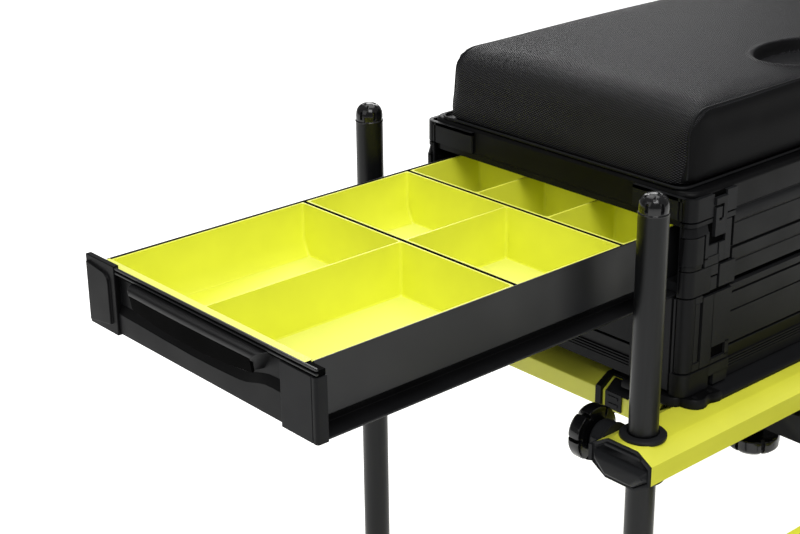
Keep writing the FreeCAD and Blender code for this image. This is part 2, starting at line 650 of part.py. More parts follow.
# Footplate: rails slide in sleeves under the front beam, two legs carry the front.
def rail_carrier():
    y0 = -LEG_Y - BEAM_W / 2 + 3
    half = RAIL_S / 2 + SLEEVE_T
    low = RAIL_Z - RAIL_S
    plate = box(-RAIL_X - half, RAIL_X + half, y0 + 16, -inner_y - 16, -BEAM_H, RAIL_Z + SLEEVE_T)
    s = plate
    for sx in (-1, 1):
        x = sx * RAIL_X
        s = s.fuse(box(x - half, x + half, y0, y0 + SLEEVE_L, low - SLEEVE_T,
                       RAIL_Z + SLEEVE_T))
        s = s.fuse(cyl(CLAMP_D, (x, clamp_y, KNOB2_Z), (0, 0, 1), low - KNOB2_Z))
    for sx in (-1, 1):
        x = sx * RAIL_X
        g = RAIL_S / 2 + GAP
        s = s.cut(box(x - g, x + g, y0 - 1, y0 + SLEEVE_L + 1, low - GAP, RAIL_Z + GAP))
        s = s.cut(cyl(STUD_D + 2 * GAP, (x, clamp_y, KNOB2_Z - 1), (0, 0, 1), low - KNOB2_Z + 2))
    return s.cut(beam_x(-LEG_Y, -LEG_X, LEG_X)).removeSplitter()


parts["rail_carrier"] = rail_carrier()

rail_knob = lobed_knob(KNOB_R, KNOB_T, STUD_D, RAIL_Z - RAIL_S - GAP - KNOB2_Z)
parts["rail_knob_left"] = at(rail_knob, -RAIL_X, clamp_y, KNOB2_Z - GAP)
parts["rail_knob_right"] = at(rail_knob, RAIL_X, clamp_y, KNOB2_Z - GAP)


def rail():
    x, h = -RAIL_X, RAIL_S / 2
    z1, z0 = RAIL_Z, RAIL_Z - RAIL_S
    s = box(x - h, x + h, PLATE_Y0 - 30, RAIL_BACK, z0, z1)
    s = s.cut(box(x - h + 2, x + h - 2, PLATE_Y0, RAIL_BACK + 1, z0 + 2, z1 - 2))
    post = box(x - h, x + h, PLATE_Y0 - 30, PLATE_Y0 - 8, PLATE_Z, z0)
    return fuse(s, post)


parts["rail_left"] = rail()
parts["rail_right"] = mirror_x(rail())


def plate_frame():
    y1, y0 = PLATE_Y0, PLATE_Y0 - PLATE_DEPTH
    z1, z0 = PLATE_Z, PLATE_Z - PLATE_H
    m = PLATE_MEMBER
    cy, hy = (y0 + y1) / 2, PLATE_DEPTH / 2
    s = rblock(PLATE_X, hy, 22, z0, z1, 0, cy)
    s = s.cut(rblock(PLATE_X - m, hy - m, 6, z0 - 1, z1 + 1, 0, cy))
    s = s.cut(box(-PLATE_X + m - 6, PLATE_X - m + 6, y0 + m - 6, y1 - m + 6, z1 - 8, z1 + 1))
    for sx in (-1, 1):
        s = s.fuse(rblock(27, 27, 8, z0 - 8, z1 + 4, sx * PLEG_X, PLEG_Y))
        s = s.cut(cyl(PLEG_D + 2 * GAP, (sx * PLEG_X, PLEG_Y, z0 - 20), (0, 0, 1), 80))
        s = s.cut(cyl(STUD_D - 2 + 2 * GAP, (sx * PLEG_X, PLEG_Y, (z0 + z1) / 2), (sx, 0, 0), 60))
    return s.removeSplitter()


parts["plate_frame"] = plate_frame()


def plate_deck():
    m = PLATE_MEMBER - 6 + 0.2
    y1, y0 = PLATE_Y0 - m, PLATE_Y0 - PLATE_DEPTH + m
    x = PLATE_X - m
    s = box(-x, x, y0, y1, PLATE_Z - 8, PLATE_Z)
    n = 11
    pitch = (y1 - y0) / n
    for i in range(n):
        yc = y0 + pitch * (i + 0.5)
        s = s.cut(box(-x - 1, x + 1, yc - 1.5, yc + 1.5, PLATE_Z - 2, PLATE_Z + 1))
    for sx in (-1, 1):
        s = s.cut(rblock(27.4, 27.4, 8, PLATE_Z - 20, PLATE_Z + 5, sx * PLEG_X, PLEG_Y))
    return s


parts["plate_deck"] = plate_deck()

pleg_top = PLATE_Z + PLEG_ABOVE
pleg = leg_tube(PLEG_D, pleg_top, PFOOT_D, PFOOT_H)
pleg = fuse(pleg, leg_cap(PLEG_D, pleg_top, 18))
parts["plate_leg_left"] = at(pleg, -PLEG_X, PLEG_Y)
parts["plate_leg_right"] = at(pleg, PLEG_X, PLEG_Y)

pknob = lobed_knob(PKNOB_R, 18, STUD_D - 2, PLATE_X - PLEG_X - PLEG_D / 2)
pknob.rotate(V(0, 0, 0), V(0, 1, 0), 90)
pz = PLATE_Z - PLATE_H / 2
parts["plate_knob_left"] = at(pknob, -PLATE_X - GAP, PLEG_Y, pz)
parts["plate_knob_right"] = mirror_x(at(pknob, -PLATE_X - GAP, PLEG_Y, pz))

os.makedirs("parts", exist_ok=True)
for name, shape in parts.items():
    out = shape.copy()
    out.translate(V(-ORIGIN.x, -ORIGIN.y, -ORIGIN.z))
    if not out.isValid() or len(out.Solids) != 1:
        print("check", name, "valid", out.isValid(), "solids", len(out.Solids))
    (out.Solids[0] if len(out.Solids) == 1 else out).exportStep("parts/" + name + ".step")
whole = Part.makeCompound(list(parts.values())).BoundBox
print("pieces", len(parts))
print("size %.1f x %.1f x %.1f" % (whole.XLength, whole.YLength, whole.ZLength))
print("origin", ORIGIN, "bounds", whole)
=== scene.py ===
"""Looks of a fishing seat box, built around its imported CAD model.

Laid out as an add-on and run as a script. Pieces are drawn in millimetres in the frame of the
CAD, and made in metres.
"""

import json
import math

import bmesh
import bpy
import numpy as np
from mathutils import Matrix, Vector
from mathutils.bvhtree import BVHTree

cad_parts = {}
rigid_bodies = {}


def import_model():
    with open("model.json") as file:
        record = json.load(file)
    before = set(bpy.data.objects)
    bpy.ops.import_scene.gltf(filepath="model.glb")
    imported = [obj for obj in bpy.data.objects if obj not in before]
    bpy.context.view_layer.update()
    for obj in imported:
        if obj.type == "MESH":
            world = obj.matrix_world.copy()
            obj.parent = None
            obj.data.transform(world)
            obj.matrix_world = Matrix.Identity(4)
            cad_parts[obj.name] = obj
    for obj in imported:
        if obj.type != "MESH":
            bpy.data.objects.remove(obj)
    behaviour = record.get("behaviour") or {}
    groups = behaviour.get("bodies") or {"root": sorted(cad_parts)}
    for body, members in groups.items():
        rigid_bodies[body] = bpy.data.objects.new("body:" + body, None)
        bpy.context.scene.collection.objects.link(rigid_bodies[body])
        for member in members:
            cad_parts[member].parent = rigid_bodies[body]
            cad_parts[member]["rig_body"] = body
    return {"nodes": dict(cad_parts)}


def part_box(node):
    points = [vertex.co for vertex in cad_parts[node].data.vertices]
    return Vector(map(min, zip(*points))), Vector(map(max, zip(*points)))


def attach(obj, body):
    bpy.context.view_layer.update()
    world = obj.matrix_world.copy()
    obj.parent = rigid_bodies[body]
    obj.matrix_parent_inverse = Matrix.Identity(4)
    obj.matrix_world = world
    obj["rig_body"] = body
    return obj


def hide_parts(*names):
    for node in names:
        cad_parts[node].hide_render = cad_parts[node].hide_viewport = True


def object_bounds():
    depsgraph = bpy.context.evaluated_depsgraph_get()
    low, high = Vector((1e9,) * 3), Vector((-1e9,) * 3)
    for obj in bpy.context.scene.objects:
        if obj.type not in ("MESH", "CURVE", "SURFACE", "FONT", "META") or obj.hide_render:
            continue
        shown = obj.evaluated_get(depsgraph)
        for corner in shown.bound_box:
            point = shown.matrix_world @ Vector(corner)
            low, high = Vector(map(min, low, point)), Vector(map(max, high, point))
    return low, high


bl_info = {
    "name": "Seat box looks",
    "version": (1, 0, 0),
    "blender": (4, 5, 0),
    "location": "3D View > Sidebar > Seat box",
    "description": "Finishes, soft seat and moulded detail for a fishing seat box",
    "category": "Object",
}

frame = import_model()
CAD_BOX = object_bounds()
MM = 0.001
# How the front left corner is mirrored to each corner, along x and y
QUARTERS = {"front_left": (1, 1), "rear_left": (1, -1), "front_right": (-1, 1),
            "rear_right": (-1, -1)}


def span(node):
    """Lowest corner, highest corner and middle of a CAD node, in millimetres."""
    lo, hi = (Vector(p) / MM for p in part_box(node))
    return lo, hi, (lo + hi) / 2


BOX_LO, BOX_HI, BOX_MID = span("upper_shell")      # outer faces of the box tiers
LEG_MID = span("leg_tube_front_left")[2]
BEAM_LO, BEAM_HI, BEAM_MID = span("front_beam")
BASE = BEAM_HI.z              # top of the beams, from which heights on the box are counted
LID_TOP = span("lid_corner_front_left")[1].z - BASE


def linear(hex_colour):
    """sRGB hex to a linear colour with alpha."""
    parts = [int(hex_colour[i:i + 2], 16) / 255 for i in (1, 3, 5)]
    return [c / 12.92 if c <= 0.04045 else ((c + 0.055) / 1.055) ** 2.4 for c in parts] + [1.0]


# Colours and sizes that a user may change

def colour(name, description, value):
    return bpy.props.FloatVectorProperty(name=name, description=description, subtype="COLOR",
                                         size=4, min=0, max=1, default=linear(value))


def length(name, description, value):
    return bpy.props.FloatProperty(name=name, description=description, unit="LENGTH",
                                   default=value * MM, min=0, precision=4)


class SeatBoxColours(bpy.types.PropertyGroup):
    lime_coat: colour("Lime powder coat", "Beams and footplate", "#F8F83E")
    lime_abs: colour("Lime ABS", "Drawer trays", "#EBEE48")
    tube: colour("Black anodising", "Leg tubes", "#0E0F10")
    nylon: colour("Black nylon", "Castings, brackets and beam ends", "#0C0C0D")
    shell: colour("Black ABS", "Box shells, lid and drawer", "#0C0C0D")
    knob: colour("Gloss black nylon", "Clamp knobs and leg caps", "#060607")
    rubber: colour("Black rubber", "Feet of the legs", "#141414")
    vinyl: colour("Black vinyl", "Seat cushion", "#0C0C0D")


class SeatBoxSizes(bpy.types.PropertyGroup):
    emboss: length("Emboss pitch", "Distance between the diamonds of the seat vinyl", 3.1)
    shoulder: length("End shoulder", "Radius of the cushion over its short ends", 45)
    side_edge: length("Side edge", "Radius along the top of the cushion's long sides", 13)
    plan_corner: length("Plan corner", "Radius of the cushion's upright corners", 26)
    foot_corner: length("Foot corner", "Plan radius of the cushion's piping", 15)
    voxel: length("Remesh size", "Voxel of the cushion before it is inflated", 5)
    swell: length("Swell", "Most that a point of the cushion may move outward", 3)
    piping: length("Piping", "Radius of the bead round the foot of the cushion", 1.9)
    recess: length("Hand recess", "Depth of the hand recess in the cushion", 17)
    tray_skin: length("Tray wall", "Wall thickness of the drawer trays", 2.6)


# Materials

def emptied(data):
    """Node tree of a material or world, without nodes."""
    data.use_nodes = True
    data.node_tree.nodes.clear()
    return data.node_tree


def add(tree, kind, settings=None, inputs=None):
    """Adds a shader node with its settings; an input takes a value or another node's socket."""
    node = tree.nodes.new("ShaderNode" + kind)
    for key, value in (settings or {}).items():
        setattr(node, key, value)
    for key, value in (inputs or {}).items():
        if isinstance(value, bpy.types.NodeSocket):
            tree.links.new(value, node.inputs[key])
        else:
            node.inputs[key].default_value = value
    return node


def new_material(name, inputs=None):
    """Material with its surface shader and the place on the object in metres."""
    material = bpy.data.materials.new(name)
    tree = emptied(material)
    shader = add(tree, "BsdfPrincipled", inputs=inputs)
    out = add(tree, "OutputMaterial", inputs={"Surface": shader.outputs[0]})
    out.is_active_output = True
    place = add(tree, "TexCoord").outputs["Object"]
    return material, tree, shader, place


def noise(tree, place, size_mm, detail=2.0, stretch=None):
    """Noise whose features are size_mm across; stretch draws them out along the axes."""
    if stretch:
        place = add(tree, "Mapping",
                    inputs={"Vector": place, "Scale": [1 / s for s in stretch]}).outputs[0]
    return add(tree, "TexNoise", inputs={
        "Vector": place, "Scale": 1 / (size_mm * MM), "Detail": detail, "Roughness": 0.55}
    ).outputs[0]


def spread(tree, value, low, high, at=(0.3, 0.7)):
    """Maps a value between two limits to a range."""
    return add(tree, "MapRange", inputs={
        "Value": value, "From Min": at[0], "From Max": at[1], "To Min": low, "To Max": high}
    ).outputs[0]


def mixed(tree, factor, first, second):
    """A colour between two, by a factor from 0 to 1."""
    return add(tree, "Mix", {"data_type": "RGBA"},
               {0: factor, 6: first, 7: second}).outputs[2]


def tinted(tree, base, amount, value):
    """The base colour, lighter or darker by amount as value goes over its range."""
    light = [min(1, c * (1 + amount)) for c in base[:3]] + [1]
    dark = [c * (1 - amount) for c in base[:3]] + [1]
    return mixed(tree, spread(tree, value, 0, 1), dark, light)


def coated(tree, shader, shade, roughness):
    tree.links.new(shade, shader.inputs["Base Color"])
    tree.links.new(roughness, shader.inputs["Roughness"])


def bumped(tree, shader, height, strength, depth_mm):
    bump = add(tree, "Bump", inputs={"Strength": strength, "Distance": depth_mm * MM,
                                               "Height": height})
    tree.links.new(bump.outputs[0], shader.inputs["Normal"])


def mottled(name, base, amount, patch_mm, rough, grain=None, painted_edge_highlight=None, inputs=None):
    """Material whose colour and gloss vary in broad patches.

    grain is (size in mm, detail, strength, depth in mm) of its relief; convex edges get a painted
    highlight, whose colour and strength come after grain.
    """
    material, tree, shader, place = new_material(name, inputs)
    broad = noise(tree, place, patch_mm)
    shade = tinted(tree, base, amount, broad)
    if painted_edge_highlight:
        # painted highlight: convex edges, found by pointiness, are painted in a paler colour
        point = add(tree, "NewGeometry").outputs["Pointiness"]
        edges = spread(tree, point, 0.0, painted_edge_highlight[1], (0.52, 0.60))
        shade = mixed(tree, edges, shade, linear(painted_edge_highlight[0]))
    coated(tree, shader, shade, spread(tree, broad, *rough))
    if grain:
        bumped(tree, shader, noise(tree, place, *grain[:2]), *grain[2:])
    return material


def moulded(name, base, rough, grain_mm, depth_mm, painted_edge_highlight="#303133", specular=0.07, amount=0.16):
    """Injection moulded plastic: fine spark-eroded grain, slight sheen, and convex edges painted
    paler as a highlight.
    """
    return mottled(name, base, amount, 55, (rough - 0.05, rough + 0.06),
                   (grain_mm, 3.0, 0.5, depth_mm), (painted_edge_highlight, 0.5),
                   {"IOR": 1.53, "Specular IOR Level": specular})


def powder_coat(name, base):
    """Powder-coated aluminium: smooth paint with a faint orange peel, 3 mm across."""
    # the pale lime on convex edges is a painted highlight
    return mottled(name, base, 0.05, 90, (0.30, 0.40), (3.0, 1.0, 0.25, 0.06),
                   ("#EEF08A", 0.35), {"IOR": 1.5})


def zinc(name):
    """Zinc-plated steel studs and pins: bright, lightly mottled."""
    return mottled(name, linear("#8F9396"), 0.15, 6, (0.25, 0.40), inputs={"Metallic": 1.0})


def rubber(name, base):
    """Moulded rubber: matt, with dust in a broad mottle."""
    return mottled(name, base, 0.25, 14, (0.70, 0.85), (0.8, 3.0, 0.4, 0.05))


def anodised(name, base):
    """Black anodised tube: drawn lines along it, 1.2 mm apart, in a satin metal."""
    material, tree, shader, place = new_material(
        name, {"Metallic": 0.2, "Specular IOR Level": 0.3})
    broad = noise(tree, place, 9, 2.0, (1, 1, 40))
    drawn = noise(tree, place, 1.2, 2.0, (1, 1, 90))
    coated(tree, shader, tinted(tree, base, 0.30, broad), spread(tree, drawn, 0.30, 0.46))
    bumped(tree, shader, drawn, 0.35, 0.03)
    return material


def embossed_vinyl(name, base, pitch):
    """PVC vinyl embossed with small diamonds whose crests carry a painted highlight; the long
    sides are smooth.
    """
    material, tree, shader, place = new_material(name, {"IOR": 1.52, "Specular IOR Level": 0.09})
    panel = add(tree, "Attribute", {"attribute_name": "panel"}).outputs["Vector"]
    side = add(tree, "SeparateXYZ", inputs={0: panel}).outputs[2]
    diamonds = spread(tree, side, 1.0, 0.0, (-0.01, 0.01))
    for direction in ((1.0, 0.62, 0.0), (1.0, -0.62, 0.0)):
        ridge = add(tree, "VectorMath", {"operation": "DOT_PRODUCT"},
                    {0: panel, 1: [c * math.pi / pitch for c in direction]}).outputs["Value"]
        for operation in ("SINE", "ABSOLUTE"):
            ridge = add(tree, "Math", {"operation": operation}, {0: ridge}).outputs[0]
        diamonds = add(tree, "Math", {"operation": "MULTIPLY"},
                       {0: diamonds, 1: ridge}).outputs[0]
    shade = tinted(tree, base, 0.12, noise(tree, place, 70))
    painted_crest_highlight = [c * 15.0 for c in base[:3]] + [1]       # painted highlight: the diamonds' crests lightened in colour as the studio light would light them
    coated(tree, shader, mixed(tree, spread(tree, diamonds, 0.0, 1.0, (0.1, 0.8)), shade, painted_crest_highlight),
           spread(tree, diamonds, 0.60, 0.24, (0.1, 0.9)))
    bumped(tree, shader, diamonds, 1.0, 3.0)
    return material


MATERIALS = {}


def make_materials():
    colours = bpy.context.scene.seat_box_colours
    sizes = bpy.context.scene.seat_box_sizes
    # The pale edge colours given below, and moulded's default, are painted highlights on convex
    # edges
    MATERIALS.update({
        "lime_alloy": powder_coat("powder_coated_aluminium_lime", colours.lime_coat),
        "lime_plastic": moulded("moulded_abs_lime", colours.lime_abs, 0.42, 1.2, 0.03,
                                painted_edge_highlight="#F4F59A", specular=0.3, amount=0.03),
        "black_alloy": anodised("anodised_aluminium_black", colours.tube),
        "black_plastic": moulded("moulded_nylon_black", colours.nylon, 0.36, 1.0, 0.05),
        "shell": moulded("moulded_abs_black", colours.shell, 0.42, 1.2, 0.05, specular=0.08),
        "satin": moulded("satin_abs_black", colours.shell, 0.34, 1.2, 0.03, specular=0.24),
        # near-black without sheen, used only as painted shade: in the gaps between trays, behind
        # the drawer's ribs, over the pull's face and behind the castings' slots
        "matt": moulded("painted_shade_pp_black", linear("#030303"), 0.80, 1.2, 0.05,
                        painted_edge_highlight="#060606", specular=0.02),
        "gloss_black": moulded("gloss_nylon_black", colours.knob, 0.13, 2.5, 0.02,
                               painted_edge_highlight="#1C1C1E", specular=0.35),
        "steel": zinc("zinc_plated_steel"),
        "rubber": rubber("moulded_rubber_black", colours.rubber),
        "seat_vinyl": embossed_vinyl("embossed_pvc_vinyl_black", colours.vinyl, sizes.emboss),
        "smooth_vinyl": moulded("smooth_pvc_vinyl_black", colours.vinyl, 0.40, 1.6, 0.05),
    })


# Objects and meshes

def linked(name, data):
    """New object in the scene."""
    obj = bpy.data.objects.new(name, data)
    bpy.context.scene.collection.objects.link(obj)
    return obj


def new_mesh(name, bm):
    """Mesh of a bmesh, which is freed."""
    mesh = bpy.data.meshes.new(name)
    bm.to_mesh(mesh)
    bm.free()
    return mesh


def solid_mesh(name, bm):
    """Mesh in metres of closed shapes drawn in millimetres, with their faces turned outward."""
    bmesh.ops.scale(bm, vec=(MM, MM, MM), verts=bm.verts)
    bmesh.ops.recalc_face_normals(bm, faces=bm.faces)
    return new_mesh(name, bm)


def evaluated(obj):
    """New mesh of an object with its modifiers applied."""
    graph = bpy.context.evaluated_depsgraph_get()
    return bpy.data.meshes.new_from_object(obj.evaluated_get(graph))


def swap_mesh(obj, mesh):
    old, obj.data = obj.data, mesh
    bpy.data.meshes.remove(old)


def apply_modifiers(obj):
    """Keeps the evaluated mesh as the object's own."""
    mesh = evaluated(obj)
    obj.modifiers.clear()
    swap_mesh(obj, mesh)


def smooth(mesh):
    mesh.polygons.foreach_set("use_smooth", [True] * len(mesh.polygons))


def settle(obj, body, finish, replaces=()):
    """Gives a new object its finish and the body it rides on."""
    obj.data.materials.clear()
    obj.data.materials.append(MATERIALS[finish])
    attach(obj, body)
    if replaces:
        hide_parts(*replaces)
    return obj


def piece(name, bm, body, finish="black_plastic", replaces=(), bevel=0.8, segments=2,
          turn=None):
    """Makes an object of a bmesh in millimetres; turn mirrors it from the front left corner."""
    if turn:
        for v in bm.verts:
            v.co.x = BOX_MID.x + (v.co.x - BOX_MID.x) * turn[0]
            v.co.y = BOX_MID.y + (v.co.y - BOX_MID.y) * turn[1]
    obj = settle(linked(name, solid_mesh(name, bm)), body, finish, replaces)
    soften(obj, bevel, segments)
    return obj


def soften(obj, bevel, segments=2, weld=False):
    """Rounds the edges of a hard piece, and keeps its flats flat."""
    smooth(obj.data)
    if weld:
        obj.modifiers.new("weld", "WELD").merge_threshold = 0.02 * MM
        flat = obj.modifiers.new("flats", "DECIMATE")
        flat.decimate_type, flat.angle_limit = "DISSOLVE", math.radians(1.0)
    edge = obj.modifiers.new("edges", "BEVEL")
    edge.width, edge.segments = bevel * MM, segments
    edge.limit_method, edge.angle_limit = "ANGLE", math.radians(38)
    edge.use_clamp_overlap = True
    obj.modifiers.new("normals", "WEIGHTED_NORMAL").keep_sharp = False


def carve(obj, bm):
    """Cuts closed shapes, drawn in millimetres, out of an object before it is softened."""
    tool = linked("cutter", solid_mesh("cutter", bm))
    stack = list(obj.modifiers)
    for mod in stack:
        mod.show_viewport = False
    cut = obj.modifiers.new("cut", "BOOLEAN")
    cut.operation, cut.solver, cut.object = "DIFFERENCE", "EXACT", tool
    mesh = evaluated(obj)
    obj.modifiers.remove(cut)
    for mod in stack:
        mod.show_viewport = True
    swap_mesh(obj, mesh)
    bpy.data.objects.remove(tool)
    smooth(obj.data)


def vectors(items, key):
    """A vector of every item of a mesh, one to a row."""
    rows = np.zeros(len(items) * 3)
    items.foreach_get(key, rows)
    return rows.reshape(-1, 3)


def coordinates(obj):
    return vectors(obj.data.vertices, "co")


def put_coordinates(obj, co):
    obj.data.vertices.foreach_set("co", np.asarray(co, np.float32).ravel())
    obj.data.update()


def point_normals(obj):
    return vectors(obj.data.vertex_normals, "vector")


# Shapes in a bmesh, in millimetres

ALONG = {"X": lambda p, h: (h, p[0], p[1]), "Y": lambda p, h: (p[0], h, p[1]),
         "Z": lambda p, h: (p[0], p[1], h)}


def loft(bm, rings):
    """Skins rings of equal count, given as lists of points, and closes both ends."""
    made = [[bm.verts.new(p) for p in ring] for ring in rings]
    for a, b in zip(made, made[1:]):
        for i in range(len(a)):
            j = (i + 1) % len(a)
            bm.faces.new((a[i], a[j], b[j], b[i]))
    bm.faces.new(reversed(made[0]))
    bm.faces.new(made[-1])


def prism(bm, axis, outline, *heights):
    """Prism on a closed outline; heights are places along the axis."""
    loft(bm, [[ALONG[axis](p, h) for p in outline] for h in heights])


def block(bm, x, y, z):
    """Block between two places along each axis."""
    prism(bm, "Z", [(x[0], y[0]), (x[1], y[0]), (x[1], y[1]), (x[0], y[1])], *z)


def slab(name, x, y, z, *look):
    """A piece that is one block; look goes on to piece."""
    bm = bmesh.new()
    block(bm, x, y, z)
    return piece(name, bm, *look)


def arc(centre, r, start, end, count):
    """Points on an arc between two angles in degrees."""
    return [(centre[0] + r * math.cos(math.radians(start + (end - start) * k / count)),
             centre[1] + r * math.sin(math.radians(start + (end - start) * k / count)))
            for k in range(count + 1)]


def rounded(hx, hy, r, centre, count):
    """Outline of a rectangle with round corners, anticlockwise, by its half lengths."""
    points = []
    for i, (sx, sy) in enumerate(((1, 1), (-1, 1), (-1, -1), (1, -1))):
        corner = centre[0] + sx * (hx - r), centre[1] + sy * (hy - r)
        points += arc(corner, r, 90 * i, 90 * (i + 1), count)
    return points


def turned(bm, profile, centre, axis="Z", count=48):
    """Revolves (radius, height) points about an axis along Z or Y."""
    rings = []
    for r, h in profile:
        ring = []
        for k in range(count):
            a = 2 * math.pi * k / count
            u, v = r * math.cos(a), r * math.sin(a)
            ring.append(Vector(centre) + Vector((u, v, h) if axis == "Z" else (u, h, -v)))
        rings.append(ring)
    loft(bm, rings)


def bead(name, points, radius, cyclic=True):
    """A round bead of smooth vinyl on the lid, along points in metres."""
    curve = bpy.data.curves.new(name, "CURVE")
    curve.dimensions = "3D"
    curve.bevel_depth, curve.bevel_resolution = radius, 3
    spline = curve.splines.new("POLY")
    spline.points.add(len(points) - 1)
    for p, q in zip(spline.points, points):
        p.co = (*q, 1)
    spline.use_cyclic_u = cyclic
    curve.use_fill_caps = not cyclic
    temp = linked(name + "_line", curve)
    mesh = evaluated(temp)
    bpy.data.objects.remove(temp)
    smooth(mesh)
    settle(linked(name, mesh), "lid", "smooth_vinyl")


# Pieces

class SEATBOX_OT_finishes(bpy.types.Operator):
    """Gives every CAD node its finish and rounds its edges"""

    bl_idname = "seatbox.finishes"
    bl_label = "Finishes of the frame and box"
    # Finish of the nodes whose names start so; the first that fits counts
    FINISHES = (
        ("satin", ("drawer_tub",)),
        ("shell", ("lower_tub", "upper_shell", "lid_frame")),
        ("lime_alloy", ("front_beam", "rear_beam", "cross_beam", "plate_frame")),
        ("lime_plastic", ("tray_",)),
        ("black_alloy", ("leg_tube", "plate_leg", "rail_left", "rail_right")),
        ("steel", ("hinge",)),
        ("gloss_black", ("leg_knob", "plate_knob", "rail_knob", "leg_cap")))
    BEVEL = 0.8
    BEVELS = {"front_beam": 1.5, "rear_beam": 1.5, "cross_beam_left": 1.5,
              "cross_beam_right": 1.5, "lid_frame": 0.6, "plate_deck": 0.5}

    def execute(self, context):
        make_materials()
        for name, obj in frame["nodes"].items():
            obj.data.materials.clear()
            obj.data.materials.append(MATERIALS[self.finish(name)])
            soften(obj, self.BEVELS.get(name, self.BEVEL), weld=True)
        return {"FINISHED"}

    def finish(self, name):
        for finish, starts in self.FINISHES:
            if name.startswith(starts):
                return finish
        return "black_plastic"


class SEATBOX_OT_trays(bpy.types.Operator):
    """Lift-out trays of the drawer with drafted compartments, near-black strips of painted shade
    in the gaps, and the front lip
    """

    bl_idname = "seatbox.trays"
    bl_label = "Drawer trays"
    TRAYS = {"tray_outer": 2, "tray_middle": 2, "tray_inner": 3}       # compartments
    GROOVE = (9.4, 11.5)      # how far the drawer's runner groove reaches in, and how high
    CHAMFER = 3.0             # height of the tray's outer slope over the groove
    SLOPE = (10.6, 20.6)      # width and height of the sloping wall over the groove
    GAP = 2.0                 # gap on each side of a tray, darkened by a near-black strip of painted shade
    FLOOR = 2.4               # thickness of the floor
    CORNER = 4                # plan radius of a compartment
    GAP_PAINTED_SHADE = (20, 0.3)         # how far under the rims the near-black strip of painted shade reaches, and its top lies
    LIP = (1.1, 1.6)          # heights of the lip over the rims

    def execute(self, context):
        skin = context.scene.seat_box_sizes.tray_skin / MM
        for name, count in self.TRAYS.items():
            self.tray(name, count, skin)
        return {"FINISHED"}

    def tray(self, name, count, skin):
        lo, hi, _ = span(name)
        first = name == "tray_outer"
        x = lo.x + self.GAP * (not first), hi.x - self.GAP
        groove, height = self.GROOVE
        shoulder = lo.z + height + self.CHAMFER
        bm = bmesh.new()
        side = [(lo.y + groove, lo.z), (hi.y - groove, lo.z), (hi.y - groove, lo.z + height),
                (hi.y, shoulder), (hi.y, hi.z), (lo.y, hi.z), (lo.y, shoulder),
                (lo.y + groove, lo.z + height)]
        prism(bm, "X", side, *x)
        cuts = bmesh.new()
        pitch = (hi.y - lo.y - skin) / count
        for i in range(count):
            y = lo.y + skin + i * pitch, lo.y + (i + 1) * pitch
            self.pocket(cuts, (x[0] + skin, x[1] - skin), y, lo.z + self.FLOOR, hi.z + 1,
                        i == 0, i == count - 1)
        carve(piece(name + "_shell", bm, "drawer", "lime_plastic", [name], 0.6), cuts)
        if first:
            slab("tray_front_lip", (span("drawer_panel")[0].x + 3.0, lo.x + 1),
                 (lo.y + 0.5, hi.y - 0.5), [hi.z + h for h in self.LIP],
                 "drawer", "lime_plastic", (), 0.2)
        else:
            # near-black strip under the gap: painted shade
            slab(name + "_gap_painted_shade", (lo.x - self.GAP - 0.2, lo.x + self.GAP - 0.2),
                 (lo.y + 1, hi.y - 1), [hi.z - h for h in self.GAP_PAINTED_SHADE],
                 "drawer", "matt", (), 0.2)

    def pocket(self, bm, x, y, floor, top, slope_front, slope_rear):
        """Compartment that narrows downward, with a sloping edge where the groove passes."""
        wide, tall = self.SLOPE
        rings = []
        # height, how far the walls have come in, share of the slope
        for z, draft, slope in ((top, 0, 0), (floor + tall, 0.7, 0), (floor + 1.5, 1.2, 0.93),
                                (floor, 2.6, 1.0)):
            a = (y[0] + draft + slope * wide * slope_front,
                 y[1] - draft - slope * wide * slope_rear)
            outline = rounded((x[1] - x[0]) / 2 - draft, (a[1] - a[0]) / 2, self.CORNER,
                              ((x[0] + x[1]) / 2, (a[0] + a[1]) / 2), 4)
            rings.append([(*p, z) for p in outline])
        loft(bm, rings)


